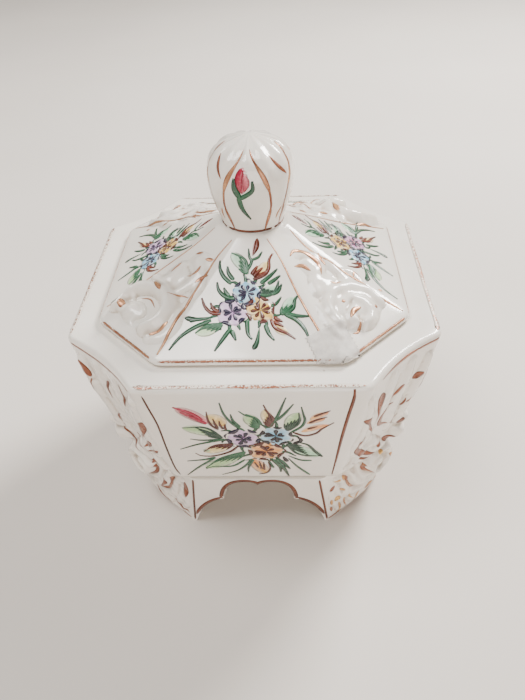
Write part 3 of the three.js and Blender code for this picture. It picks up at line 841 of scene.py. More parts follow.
PAINTS = {
    "glaze": "#F2ECE2", "green": "#2F6142", "dark green": "#22402F", "pale green": "#A5C98A",
    "mint": "#A3D2AC", "crimson": "#A8223E", "rose": "#D9737F", "ochre": "#D6A544", "straw": "#E6CC83",
    "brown": "#54231A", "red brown": "#74321F", "orange": "#E2832B", "peach": "#EFAE5E",
    "lilac": "#B585BE", "pale lilac": "#D3B0D6", "blue": "#55A7CB", "pale blue": "#A9CFE2",
    "plum": "#261F38", "yellow": "#E8BF45", "black": "#241A20",
}
PAINTS = {name: np.array(linear(code)) for name, code in PAINTS.items()}


def paint(film, place, path, width, colour, end=None, shape="blade", fade=0.0, **more):
    """A brush stroke that may change colour along it. A full brush spreads to half as wide again."""
    broad = width if fade else width * 1.5
    film.mark(place, path, broad, shape, info=(PAINTS[colour], PAINTS[end or colour], fade), **more)


def wash(film, place, path, width, colour, end=None, shape="leaf", layer=0):
    """A thin broad wash that fades into the glaze at its edges."""
    paint(film, place, path, width, colour, end, shape, fade=0.55, lift=0.008 + 0.006 * layer, rise=0.01,
          across=7, step=0.7)


def paint_piece(name, film, body):
    colours = []
    for share, side, (start, end, fade) in film.rows:
        tint = between(start, end, share[:, None])
        edge = (fade * np.abs(side) ** 1.5)[:, None]
        colours.append(between(tint, PAINTS["glaze"], edge))
    return piece(name, np.concatenate(film.points), film.faces, enamel, body,
                 colours={"pigment": np.concatenate(colours)})


def flower(film, place, cx, cy, r, petal, pale, centre, turn=0, petals=5, seed=1):
    """A loose flower of radius r: petals in wash, a ragged dark star of stamens, blotted outlines."""
    rng = random.Random(seed)

    def polar(reach, angle):
        return cx + reach * math.cos(angle), cy + reach * math.sin(angle)

    for k in range(9):                                 # short dark leaves that fill in behind it
        a = math.radians(turn + 40 * k + rng.uniform(-12, 12))
        paint(film, place, [polar(r * rng.uniform(1.3, 1.8), a + rng.uniform(-0.25, 0.25)),
                            polar(r * 1.15, a), polar(r * 0.75, a)], 0.7, "dark green", "green",
              lift=0.004, rise=0.008)
    for k in range(petals):
        a = math.radians(turn + 360 / petals * k + rng.uniform(-8, 8))
        reach = r * rng.uniform(0.82, 1.08)
        wash(film, place, [(cx, cy), polar(reach / 2, a), polar(reach, a)], r * rng.uniform(0.85, 1.05),
             petal, pale, "petal", layer=1 + k % 2)
    for k in range(8):
        a = math.radians(turn + 45 * k + rng.uniform(-12, 12))
        paint(film, place, [polar(r * rng.uniform(0.46, 0.74), a), polar(r * rng.uniform(0.0, 0.1), a)],
              r * 0.23, centre, shape="dab")
    for k in range(petals):                            # the outline, thick in the notches between petals
        a = math.radians(turn + 360 / petals * (k + 0.5))
        span = math.radians(rng.uniform(14, 26))
        paint(film, place, [polar(r * 1.0, a - span), polar(r * 0.84, a), polar(r * 1.0, a + span)],
              r * rng.uniform(0.15, 0.25), centre, shape="spindle", lift=0.036)
        if rng.random() < 0.5:
            paint(film, place, [polar(r * 1.02, a + span), polar(r * 1.06, a + span * 1.6),
                                polar(r, a + span * 2.2)], r * 0.09, centre, shape="spindle", lift=0.036)


def leaf(film, place, tip, base, width, pale, vein, count=4, bow=0.0):
    """A leaf: a pale wash, one curved dark edge, and a fan of veins from the base."""
    tip, base = np.array(tip, float), np.array(base, float)
    d = base - tip
    side = np.array([-d[1], d[0]]) / max(np.linalg.norm(d), 1e-6)
    middle = (tip + base) / 2 + side * bow
    wash(film, place, [tip, middle, base], width, pale, pale, "leaf")
    paint(film, place, [tip, (tip + base) / 2 + side * (bow + width * 0.42), base], 0.6, vein)
    for k in range(count):
        t = (k + 0.5) / count
        start = tip + d * (0.22 + 0.5 * t) + side * (bow * 0.7 + width * (0.32 - 0.8 * t))
        curl = side * (0.16 * width * (0.5 - t))
        paint(film, place, [start, (start + base) / 2 + curl, base], 0.62, vein)


def body_spray(film, place, flowers, seed):
    """The spray on a face of the vessel, about 45 mm wide and 40 mm high."""
    wash(film, place, [(-19.6, 64.8), (-15.5, 61.6), (-11.6, 57.8)], 4.2, "crimson", "rose", "petal", 1)
    paint(film, place, [(-20.2, 65.2), (-16, 62.6), (-13.2, 59.4)], 0.9, "crimson")
    paint(film, place, [(-18.6, 63.0), (-15, 60.0), (-12.2, 57.6)], 0.9, "crimson")
    wash(film, place, [(-12.2, 61.2), (-9.5, 59.5), (-7.5, 56.5)], 4.6, "straw", "ochre", "petal")
    for path in ([(-11.7, 63.2), (-11.6, 59.5), (-11, 57), (-9.3, 54.8)],
                 [(-10.3, 60), (-9.9, 57.5), (-9.3, 55.3)],
                 [(-8.7, 59), (-8.6, 57), (-8, 55)], [(-7.2, 57.5), (-7.4, 56), (-7.2, 54.6)]):
        paint(film, place, path, 0.55, "brown")
    leaf(film, place, (-19, 55.8), (-8.5, 50.8), 4.4, "pale green", "dark green", 5, 0.8)
    leaf(film, place, (-14.5, 43.2), (-6, 47.5), 4.4, "straw", "brown", 4, -0.4)
    wash(film, place, [(-14.6, 44.2), (-12.5, 43.6)], 1.6, "green", "pale green", "petal", 2)
    paint(film, place, [(-17, 42.5), (-15.3, 40.9), (-11.5, 40.9), (-7, 43.2), (-4.5, 46.3)], 0.6, "brown")
    leaf(film, place, (-15, 33.4), (-2.8, 43.2), 5.0, "pale green", "green", 5, -0.6)
    paint(film, place, [(-15, 32.8), (-12.3, 34.4), (-7, 34.6), (-3, 38.5)], 0.6, "green")
    for path in ([(-17.5, 50.2), (-14, 49.5), (-8, 50)], [(-21, 44.7), (-15, 47.6), (-8, 49.8)],
                 [(-20, 37.8), (-15, 38.6), (-11.5, 40)], [(-21, 28.9), (-17, 34), (-11.5, 39.8)],
                 [(-10.5, 29), (-6, 31.5), (-3, 35), (-1, 39)], [(-2.5, 30.5), (-2.2, 34), (-0.6, 38.5)],
                 [(-8, 67), (-7.2, 62), (-5.2, 57.5), (-2.2, 54)], [(-5.5, 62), (-5, 59), (-3.3, 56)],
                 [(9, 68.9), (7.6, 64), (6.4, 60), (4.4, 55.5)], [(10.9, 66.2), (8.6, 62), (6.4, 58.8)],
                 [(12.9, 65), (13.4, 62), (13.9, 59), (13, 56), (10, 53)], [(3.5, 38.8), (5.1, 33.3)],
                 [(9.5, 39.2), (12.2, 34), (15.9, 28.6)], [(9.5, 40.7), (13, 38.1), (16.2, 37.8)]):
        paint(film, place, path, 0.62, "dark green", "green")
    for path in ([(5, 38.5), (7, 34), (7.2, 30.6)], [(6, 38.8), (8.2, 33), (9.6, 27.8)],
                 [(7.2, 38), (10, 32.5)]):
        paint(film, place, path[::-1], 0.95, "dark green", "green")
    leaf(film, place, (-1.5, 62), (1.5, 55.2), 4.2, "pale green", "green", 5)
    paint(film, place, [(-3.3, 63.3), (-1.6, 61.4), (1, 60.1), (2.5, 57)], 0.6, "green")
    leaf(film, place, (3.4, 64), (4.6, 56), 3.2, "straw", "brown", 4)
    paint(film, place, [(3.2, 66), (4.3, 62.4), (5.7, 59.6), (5, 56)], 0.6, "brown")
    leaf(film, place, (12.3, 62.5), (9.4, 54), 4.4, "pale green", "dark green", 5, -0.3)
    for tip, base, width in (((20, 62.4), (15.2, 59.3), 2.2), ((19.2, 59.6), (14.4, 57.4), 2.2),
                             ((20.3, 56.8), (13, 53.4), 2.4)):
        middle = ((tip[0] + base[0]) / 2, (tip[1] + base[1]) / 2 + 0.3)
        wash(film, place, [tip, middle, base], width, "orange", "peach", "petal", 1)
    for path in ([(20.4, 63.2), (18.3, 61.9), (16.2, 60.6)], [(19.7, 60.4), (17.2, 59.2), (15, 57.6)],
                 [(21.6, 57.8), (18.6, 54.9), (17, 52.7), (14, 51.5), (10.8, 53.2)],
                 [(17.3, 56), (14.6, 54.8)]):
        paint(film, place, path, 0.6, "brown")
    leaf(film, place, (19, 40.4), (9, 47.2), 5.0, "mint", "dark green", 5, 0.6)
    paint(film, place, [(12, 48.2), (15, 46.6), (17.2, 42.8), (19.2, 40)], 0.7, "dark green")
    wash(film, place, [(-0.9, 39), (1, 34), (3, 29.6)], 4.6, "orange", "ochre", "petal", 1)
    for path in ([(-0.4, 37), (0.6, 33.5)], [(1, 37.5), (1.6, 32.5)], [(2.3, 37), (2.3, 32)],
                 [(3.6, 37), (4.1, 33), (3, 30.2), (0.6, 29.2)]):
        paint(film, place, path, 0.5, "brown")
    names = {"lilac": ("lilac", "pale lilac", "plum"), "blue": ("blue", "pale blue", "black"),
             "orange": ("orange", "peach", "brown"), "yellow": ("yellow", "straw", "red brown")}
    spots = ((-2.8, 50.3, 4.9), (6.2, 51.3, 4.7), (3.2, 43.2, 5.2))        # middle and radius
    for k, ((cx, cy, r), kind) in enumerate(zip(spots, flowers)):
        petal, pale, centre = names[kind]
        flower(film, place, cx, cy, r, petal, pale, centre, turn=18 + 30 * k, seed=seed + k)
    for path in ([(12, 51), (13, 49), (11, 47.4)], [(8, 40.2), (9.2, 37.2)]):
        paint(film, place, path, 0.9, "black")


def moved(place, flip, scale, shift=0, lift=0, middle=0):
    """The same brushwork mirrored, made larger or smaller about its middle, or set aside or higher."""
    return lambda x, y: place(x * flip * scale + shift, middle + (y - middle) * scale + lift)


SPRAY_MIDDLE = 48
SPRAYS = {"front": (1, 1.0, 0, ("lilac", "blue", "orange")),
          "right": (-1, 0.96, 0.6, ("blue", "orange", "lilac")),
          "back": (1, 1.02, -0.5, ("yellow", "lilac", "blue")),
          "left": (-1, 1.0, -0.3, ("orange", "lilac", "blue"))}
for k, (face, (flip, scale, lift, flowers)) in enumerate(SPRAYS.items()):
    film = Film()
    place = easel_place(box_tree, board(FACES[face], BODY_REACH, 0))
    body_spray(film, moved(place, flip, scale, lift=lift, middle=SPRAY_MIDDLE), flowers, 10 + 7 * k)
    paint_piece(f"body_bouquet_{face}", film, "box")

# ================================================================ lid
# The lid is a hollow slip-cast pyramid: four sagging panels and four narrower carved corners, with a
# thin upright edge that rests on the vessel's shoulder. It is glazed inside and out.

lid_low, lid_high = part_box("lid_shell")
LID_BOTTOM, LID_TOP = lid_low.z / MM, lid_high.z / MM
LID_EDGE = dict(LID_PLAN, half=lid_high.x / MM)
LID_FLAT = dict(half=9.9, face=3.8, scoop=0.0)
LID_EDGE_HEIGHT = 1.8
LID_SAG = 0.8
LID_WALL = 3.4                               # thickness at the flat top
FLANGE_WALL = 3.0


def lid_size(t):
    """Plan of the lid from its edge (0) to its flat top (1)."""
    return {key: between(LID_EDGE[key], LID_FLAT[key], t) for key in LID_EDGE}


def lid_height(t):
    return between(LID_BOTTOM + LID_EDGE_HEIGHT, LID_TOP, t) - LID_SAG * 4 * t * (1 - t)


flange_low, flange_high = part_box("lid_locating_flange")
FLANGE_INSET = 6.4                           # from the edge of the lid in to the flange
FLANGE = dict(half=flange_high.x / MM, face=LID_EDGE["face"] - FLANGE_INSET * (math.sqrt(2) - 1), scoop=0.0)
flange_inner = inset(FLANGE, FLANGE_WALL)
rings = [ring(inset(LID_FLAT, LID_WALL / 2), LID_TOP - LID_WALL, 0.6)]
low_ring = ring(flange_inner, LID_BOTTOM, 1.0)
for t in np.linspace(0.2, 1.0, 5):
    rings.append(between(rings[0], low_ring, t))
for inward, up in ((0.9, 0), (0.25, 0.25), (0, 0.8), (0.15, 1.35)):        # the rounded edge
    rings.append(ring(inset(LID_EDGE, inward), LID_BOTTOM + up, 1.4))
for t in np.concatenate([[0.012, 0.028], np.linspace(0.05, 1, 46)]):
    rings.append(ring(lid_size(t), lid_height(t) - 0.35 * math.exp(-t / 0.02), between(1.5, 0.5, t)))
lid_points, lid_faces = loft(rings)
lid = piece("glazed_lid", lid_points, lid_faces, glazed, "lid")
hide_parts("lid_shell")

# ================================================================ locating flange
# A low ring under the lid drops into the mouth and keeps the lid in place. It is luted on, and left
# bare so that it doesn't stick in the kiln.

# Biscuit porcelain: unglazed and chalky, with a sandy tooth from about 1 mm down to 0.1 mm.
biscuit, tree = new_material("bare porcelain, biscuit fired and sponged")
where = add(tree, "ShaderNodeTexCoord").outputs["Object"]
grit = add(tree, "ShaderNodeTexNoise", {"Scale": 1200.0, "Detail": 4.0}, {"Vector": where})
chalk = add(tree, "ShaderNodeValToRGB", {"stops": [(0.3, linear("#DCD1C0")), (0.7, linear("#EBE3D6"))]},
            {"Fac": grit.outputs["Fac"]})
tooth = add(tree, "ShaderNodeBump", {"Strength": 0.4, "Distance": 0.0001}, {"Height": grit.outputs["Fac"]})
shade = add(tree, "ShaderNodeBsdfPrincipled", {"Roughness": 0.78, "IOR": 1.5},
            {"Base Color": chalk.outputs["Color"], "Normal": tooth.outputs[0]})
add(tree, "ShaderNodeOutputMaterial", links={"Surface": shade.outputs[0]})

FLANGE_HEIGHT = 6.0
flange_rings = []
for size, z in ((inset(FLANGE, 0.5), 0), (FLANGE, 0.6), (FLANGE, FLANGE_HEIGHT),
                (flange_inner, FLANGE_HEIGHT), (flange_inner, 0.6), (inset(flange_inner, -0.5), 0)):
    flange_rings.append(ring(size, flange_low.z / MM + z, 1.0))
flange_points, flange_faces = ring_between(flange_rings)
flange = piece("locating_flange", flange_points, flange_faces, biscuit, "lid")
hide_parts("lid_locating_flange")

# ================================================================ lid scrolls
# Each narrow corner of the lid is carved in the mould, and so cast with it: a fat curled boss near the
# edge, and rolling leaves above it up to the knob.

SLOPE_RUN = LID_EDGE["half"] - LID_FLAT["half"]
SLOPE_RISE = LID_TOP - LID_BOTTOM - LID_EDGE_HEIGHT
CORNER_RUN = (LID_EDGE["half"] + LID_EDGE["face"] - LID_FLAT["half"] - LID_FLAT["face"]) / math.sqrt(2)
corner_reach = (LID_EDGE["half"] + LID_EDGE["face"]) / math.sqrt(2)

right_curl = (
    [(spiral(-1.0, 8.5, 5.2, 60, 0.95, -1), (2.2, 1.6), 2.7),
     ([(-7, 9), (-6, 14.5), (-1, 17.8), (4.5, 16.5), (8, 12.5), (8.5, 7.5)], (1.8, 2.2), 1.9),
     ([(-5, 20), (-2, 24), (1.5, 26.5), (1, 31)], (2.2, 1.8), 1.1),
     ([(5.5, 20), (5.5, 25), (4, 30)], (1.8, 1.4), 0.9),
     ([(9, 15), (9.5, 19), (8, 22)], (1.8, 1.2), 0.9),
     ([(-9.5, 6), (-9, 12), (-7.5, 17)], (1.8, 1.4), 0.8)],
    [((1.0, 11), (9.5, 8.0), 0, 1.9), ((-1.5, 20.5), (5.5, 5), 0, 1.2), ((0.5, 28.5), (5, 6.5), 0, 0.7),
     ((6, 18), (4, 4.5), 0, 0.8)],
    [([(-5.5, 5.6), (-4, 4.6), (-2.4, 5.4), (-1.6, 7.4)], 1.3, 1.3),
    ([(-3.2, 31), (0.6, 30.4), (1.6, 26.5)], 1.1, 0.5),
     ([(1, 19.5), (3.5, 18.6)], 1.0, 0.5), ([(5.2, 29), (4.2, 26)], 1.0, 0.4),
     ([(-3, 11), (1, 12.5)], 1.1, 0.5)])
left_curl = (
    [([(-11.5, 5.5), (-11, 10.5), (-8, 15), (-2.5, 16.8), (3, 14.8), (5.0, 10), (2.8, 5.2)], (2.3, 2.6), 3.5),
     ([(6, 3.6), (9, 6.5), (9.5, 11), (7.5, 15)], (2.0, 1.8), 1.2),
     ([(-9, 19.5), (-5, 19.5), (-3.5, 23), (-4.5, 27)], (2.0, 1.6), 1.2),
     ([(2, 19), (3.5, 24), (2, 28), (-1, 30.5)], (2.2, 1.6), 1.3),
     ([(7, 18), (7, 23), (5, 28)], (1.6, 1.2), 0.9)],
    [((-3, 10), (9, 7.5), 0, 1.1), ((-5.4, 7.4), (3.4, 2.8), 10, 2.2), ((-9.2, 7.0), (2.2, 2.4), 0, 2.0),
     ((6, 11), (5, 7), 0, 0.9), ((-2, 23), (6, 6), 0, 0.9), ((0, 29), (5, 6.5), 0, 0.6)],
    [([(-7.4, 11.6), (-4, 12.8), (-0.4, 11.4), (0.8, 8.2), (-1.4, 5.6)], 2.3, 3.4),
    ([(6.0, 4.5), (7.6, 9)], 1.0, 0.4),
     ([(-6, 18.4), (-2, 18.0)], 1.1, 0.6), ([(-2, 27), (1.5, 25)], 1.0, 0.5)])
lid_tree = tree_of((lid_points, lid_faces))
lid_ornaments = []
for corner, angle in CORNERS.items():
    easel = board(angle, corner_reach, LID_BOTTOM + LID_EDGE_HEIGHT, CORNER_RUN, SLOPE_RISE)
    made = relief_piece(f"lid_scrollwork_{corner}", easel, lid_tree, (-13.5, 13.5), (1.2, 34),
                        right_curl if HANDED[corner] > 0 else left_curl, glazed, "lid")
    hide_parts(f"lid_scroll_{corner}")
    lid_ornaments.append(made)

# ================================================================ knob
# The knob is a closed flower bud, slip-cast and luted on: four broad petals with soft lobes between
# them, puckered where they close at the top.

knob_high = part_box("lid_knob")[1]
KNOB_BASE, KNOB_TOP = LID_TOP - 0.1, knob_high.z / MM
KNOB_RADIUS = knob_high.x / MM - 0.35
# Radius of the bud as a share of the widest, by height, and half the width of a petal in degrees.
KNOB_SIDE = [(0.0, 0.735), (0.05, 0.74), (0.14, 0.79), (0.27, 0.88), (0.4, 0.95), (0.54, 0.99), (0.66, 0.99),
             (0.77, 0.93), (0.86, 0.80), (0.93, 0.59), (0.975, 0.34), (1.0, 0.05)]
PETAL_HALF = [(0.0, 28), (0.15, 31), (0.35, 33.5), (0.55, 30), (0.75, 21), (0.9, 8), (1.0, 2)]   # degrees
PETAL_TURN = -4                                        # the knob was set on a little turned
SPIN, RISES = 240, 90                                  # points round the bud and rows up it


def smooth_table(table, at):
    """Reads a small table of sizes with rounded changes of direction."""
    xs, ys = zip(*table)
    fine = np.linspace(0, 1, 401)
    values = np.interp(fine, xs, ys)
    kernel = bell(np.arange(-40, 41) / 13)
    padded = np.concatenate([np.full(40, values[0]), values, np.full(40, values[-1])])
    return np.interp(at, fine, np.convolve(padded, kernel, "valid"))


def knob_point(share, angle):
    """Radius of the bud at a share of its height and an angle in degrees."""
    radius = KNOB_RADIUS * (np.interp(share, *zip(*KNOB_SIDE)) * 0.35
                            + smooth_table(KNOB_SIDE, share) * 0.65)
    near = (angle - PETAL_TURN + 45) % 90 - 45                # degrees from the middle of a petal
    petal = smooth_table(PETAL_HALF, share)
    swell = np.sin(np.pi * np.clip(share * 1.05, 0, 1))
    lobe = 0.55 * swell * (0.5 - 0.5 * np.cos(np.radians(near * 4)))
    from_edge = (np.abs(near) - petal) * np.radians(1) * radius
    groove = 0.42 * (0.35 + 0.65 * share) * np.exp(-(from_edge / 0.5) ** 2)
    fold = np.cos(np.radians(near * 12)) - 0.4
    pucker = 0.5 * np.clip((share - 0.6) / 0.4, 0, 1) * fold * np.clip(radius / 8, 0, 1)
    return np.maximum(radius + lobe - groove + pucker, 0.2)


angles = np.linspace(0, 360, SPIN, endpoint=False)
rows = []
for share in 1 - (1 - np.linspace(0, 1, RISES)) ** 1.25:
    r = knob_point(np.full(SPIN, share), angles)
    uneven = 0.25 * share ** 6 * np.cos(np.radians(angles * 5 + 40)) * (1 - share) * 6
    z = between(KNOB_BASE, KNOB_TOP, share) + uneven
    rows.append(np.column_stack([r * np.cos(np.radians(angles)), r * np.sin(np.radians(angles)), z]))
knob_points, knob_faces = loft(rows)
knob = piece("bud_knob", knob_points, knob_faces, glazed, "lid")
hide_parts("lid_knob")

# ================================================================ gilding and painting of the lid
# The same gold lustre and enamels as on the vessel: a pointed spray on each panel, gold along the edge
# and the corners, and a rosebud on the front and back petals of the knob.

EDGE_LINE = LID_BOTTOM + 1.4                           # height of the gold line on the lid's edge
top_tree = tree_of((lid_points, lid_faces), (knob_points, knob_faces),
                   *[mesh_part(thing) for thing in lid_ornaments])
slope_boards = {face: board(angle, LID_EDGE["half"], LID_BOTTOM + LID_EDGE_HEIGHT, SLOPE_RUN, SLOPE_RISE)
                for face, angle in FACES.items()}
lid_gilding = Film()
for face, easel in slope_boards.items():
    place = easel_place(top_tree, easel)
    gold(lid_gilding, place, [(-5.6, 36.6), (-10, 31), (-14.5, 22), (-19, 13.5), (-22, 7), (-24.2, 2.2)],
         0.8, "blade", 0.22)
    gold(lid_gilding, place, [(4.2, 36.6), (8, 30), (12, 20.5), (15, 14), (17.5, 9), (20.5, 2)], 0.65,
         "blade", 0.22)
    edge_place = easel_place(top_tree, board(FACES[face], LID_EDGE["half"], EDGE_LINE, 1.0, 1.0))
    gold(lid_gilding, edge_place, [(-24, 0.35), (0, 0.35), (24, 0.35)], 0.7, "line", 0.4, 0.3)
# Dabs of gold on a corner are (path, width), on a board that leans back along the ridge.
right_dabs = [
    ([(-3.0, 33.2), (-0.6, 34.0), (1.4, 32.2), (2.3, 29), (1.8, 26), (0.3, 23.6)], 1.5),
    ([(-4.2, 30), (-2.2, 28.8), (-1.5, 26.2)], 1.3),
    ([(5.5, 30), (4.2, 28), (4, 25.5)], 1.1), ([(0.5, 20.5), (2, 19.2), (3.5, 19)], 0.6),
    ([(8, 18), (9.5, 19.2), (10.5, 17.5)], 0.7), ([(-6, 5), (-4.5, 4.5), (-3, 5.4), (-2, 7.2)], 0.9),
    ([(-4, 8.5), (-1.5, 9.6), (1, 9.3)], 1.6), ([(-2, 13.8), (-1, 13.2)], 1.2),
    ([(5.2, 7.6), (6.2, 7)], 1.3),
    ([(12.2, 11.5), (12.8, 10.2)], 1.0),
]
left_dabs = [
    ([(-10.2, 6.6), (-8.4, 8.0)], 2.6), ([(-5.2, 17.9), (-3, 17.3), (-0.6, 16.4)], 1.5),
    ([(5.5, 5), (7.3, 7.3), (7.6, 10.8)], 1.2),
    ([(1.2, 31.4), (3.4, 32.6)], 1.3), ([(1.6, 16.8), (4, 19), (6.6, 19.6)], 0.5),
    ([(-5, 23), (-4.3, 27)], 1.1),
    ([(-3.2, 31.5), (-1.4, 33)], 1.0), ([(4.6, 24), (5.8, 28)], 1.0),
    ([(-6.8, 12.0), (-3.8, 13.2), (-0.4, 12.0)], 0.5),
    ([(0.6, 24.4), (2.6, 26.6), (2.2, 29)], 0.9),
]
for corner, angle in CORNERS.items():
    place = easel_place(top_tree, board(angle, corner_reach, LID_BOTTOM + LID_EDGE_HEIGHT, CORNER_RUN,
                                        SLOPE_RISE))
    for path, width in (right_dabs if HANDED[corner] > 0 else left_dabs):
        gold(lid_gilding, place, path, width, "spindle", 0.22, across=5, step=0.4)
    edge_place = easel_place(top_tree, board(angle, corner_reach, EDGE_LINE, 1.0, 1.0))
    gold(lid_gilding, edge_place, [(-11, 0.35), (0, 0.35), (11, 0.35)], 0.8, "line", 0.3, 0.25)
gold_piece("lid_gilding", lid_gilding, "lid")


def lid_spray(film, place, flowers, seed):
    """The spray on a panel of the lid, a pointed triangle about 34 mm wide and 36 mm high."""
    wash(film, place, [(1.4, 36.5), (1.0, 33.8), (0.2, 31.4)], 1.5, "rose", "rose", "leaf", 1)
    paint(film, place, [(1.5, 36.8), (1.3, 34), (0.3, 31.3)], 1.0, "red brown", "brown", "leaf")
    for path in ([(-0.9, 33.6), (-0.6, 31), (0, 29.5), (-1, 27)], [(2.9, 32.6), (1.8, 30.8), (0, 30)]):
        paint(film, place, path, 0.6, "dark green", "green")
    for path in ([(5.8, 32), (4.8, 30), (4.7, 27.5), (3.5, 25.5), (0.5, 24)], [(1.6, 28.2), (0, 25.5)],
                 [(3.1, 27.7), (0.5, 25)], [(4.4, 26.6), (1.2, 24.6)]):
        paint(film, place, path, 0.8, "red brown", "brown")
    wash(film, place, [(4.5, 29.5), (3, 27), (0.8, 24.8)], 3.2, "straw", "ochre", "leaf")
    leaf(film, place, (-5.6, 32.4), (-1, 25.8), 3.6, "mint", "green", 4, 0.3)
    for path in ([(-8.7, 30.2), (-8.6, 27.5), (-7.5, 25), (-5.4, 22.8)],
                 [(-6.6, 28.2), (-6.2, 26), (-4.8, 24)],
                 [(7.1, 27.2), (5, 25), (2.5, 22.8)], [(7.9, 25.2), (6.2, 23.8), (4.5, 22.6)],
                 [(7.4, 23.6), (6.6, 20.7), (4.5, 19.2), (2, 19.6)],
                 [(-9.3, 23.4), (-8.8, 21), (-7, 19), (-4.5, 18.2)],
                 [(-7.4, 21.7), (-6.8, 20.2), (-5.8, 19)],
                 [(12.6, 19.2), (11.6, 17.5), (11, 15), (8, 13.4)],
                 [(15.7, 12.8), (12.5, 12.9), (9, 13.7)], [(15.3, 5.8), (14.1, 9), (12, 11.7), (9, 13.4)],
                 [(-21.2, 3.3), (-18.6, 7), (-15, 9.8), (-10.5, 12)],
                 [(-9.3, 2.9), (-7.5, 6), (-5.2, 9.6)],
                 [(-3.8, 5.9), (-4.4, 7.4), (-5, 9)], [(0.4, 6.2), (-0.7, 8), (-1, 12)],
                 [(6.2, 5.8), (4.8, 7.8), (3.8, 10.5)],
                 [(8.2, 22.6), (7.2, 20.4), (5.4, 19.4)]):
        paint(film, place, path, 0.85, "dark green", "green")
    for path in ([(-17.6, 12.8), (-14, 12.3), (-9, 13)], [(0.7, 3.3), (1.7, 5.5), (2.3, 9.7)],
                 [(-16.5, 12), (-12, 12.6)]):
        paint(film, place, path, 1.15, "dark green", "green", "dab")
    leaf(film, place, (-14.6, 8.2), (-7.5, 10.8), 3.4, "pale green", "green", 4, -0.4)
    leaf(film, place, (11.8, 18.6), (8, 13.4), 3.4, "mint", "green", 3)
    leaf(film, place, (7.2, 21.6), (2.4, 20), 2.6, "mint", "dark green", 3)
    for path in ([(-13.3, 18.7), (-12.3, 16), (-10.5, 14.2), (-8, 13.8)],
                 [(-10.9, 17.2), (-10, 15.3), (-8.4, 14.4)],
                 [(11.7, 6.1), (9.5, 7.8), (6.5, 9.5), (5.3, 12)], [(8.4, 11.2), (6, 12.6)],
                 [(8.6, 9.8), (6, 11.4)]):
        paint(film, place, path, 0.75, "brown", "red brown")
    wash(film, place, [(10, 7.6), (7.5, 9.2), (5.6, 12)], 2.6, "straw", "ochre", "leaf")
    names = {"lilac": ("lilac", "pale lilac", "plum"), "blue": ("pale blue", "blue", "plum"),
             "yellow": ("yellow", "ochre", "brown"), "crimson": ("rose", "lilac", "plum")}
    spots = ((-1.2, 20.0, 4.0), (-5.0, 14.2, 4.0), (2.4, 14.8, 4.0))       # middle and radius
    for k, ((cx, cy, r), kind) in enumerate(zip(spots, flowers)):
        petal, pale, centre = names[kind]
        flower(film, place, cx, cy, r, petal, pale, centre, turn=25 + 40 * k, seed=seed + k)


LID_SPRAYS = {"front": (1, 1.0, 0, ("blue", "lilac", "yellow")),
              "right": (1, 0.98, 1.2, ("yellow", "blue", "crimson")),
              "back": (-1, 1.0, 0, ("lilac", "yellow", "blue")),
              "left": (-1, 0.96, -1.0, ("yellow", "blue", "lilac"))}
for k, (face, (flip, scale, shift, flowers)) in enumerate(LID_SPRAYS.items()):
    film = Film()
    place = moved(easel_place(top_tree, slope_boards[face]), flip, scale, shift)
    lid_spray(film, place, flowers, 50 + 5 * k)
    paint_piece(f"lid_bouquet_{face}", film, "lid")

# The knob's marks are drawn on the bud unrolled: x runs round it and y up from its base.
GIRTH = 11.0                                           # radius that arc lengths on the knob are taken at


def round_place(facing):
    """Presses (arc, height above the base) points on the knob from all round."""
    def place(x, y):
        angle = np.radians(facing) + x / GIRTH
        share = np.clip(y / (KNOB_TOP - KNOB_BASE), 0, 0.995)
        spots, normals = np.empty((len(x), 3)), np.empty((len(x), 3))
        missed = np.zeros(len(x), bool)
        for k, (a, s) in enumerate(zip(angle, share)):
            tilt = math.radians(80) * s ** 4                   # the bud closes over at the top
            r = knob_point(np.array([s]), np.array([math.degrees(a)]))[0]
            aim = Vector((r * math.cos(a), r * math.sin(a), KNOB_BASE + (KNOB_TOP - KNOB_BASE) * s))
            out = Vector((math.cos(a) * math.cos(tilt), math.sin(a) * math.cos(tilt), math.sin(tilt)))
            spot, normal, _, _ = top_tree.ray_cast(aim + out * 6, -out, 12)
            if spot is None:
                missed[k] = True
                spot, normal = aim, out
            spots[k], normals[k] = spot, normal
        return spots, normals, missed
    return place


knob_gilding = Film()
for face, angle in FACES.items():
    place = round_place(angle + PETAL_TURN)
    for hand in (-1, 1):
        line = []
        for share in np.linspace(0.02, 0.93, 14):
            arc = math.radians(float(smooth_table(PETAL_HALF, share))) * GIRTH
            line.append((hand * arc, share * (KNOB_TOP - KNOB_BASE)))
        gold(knob_gilding, place, line, 0.6, "line", 0.35)
        gold(knob_gilding, place, line[7:13], 1.3, "spindle", 0.22, across=5)
        gold(knob_gilding, place, line[0:6], 1.1, "spindle", 0.35, across=5)
    gold(knob_gilding, place, [(-8.2, 0.75), (0, 0.75), (8.2, 0.75)], 0.8, "line", 0.75)
    lobe = round_place(angle + 45 + PETAL_TURN)
    gold(knob_gilding, lobe, [(-1, 22), (0.5, 19.5), (2.4, 17)], 1.0, "spindle", 0.45)
    gold(knob_gilding, lobe, [(1.2, 8), (0.4, 6), (0.2, 4)], 0.8, "spindle", 0.2)
gold_piece("knob_gilding", knob_gilding, "lid")

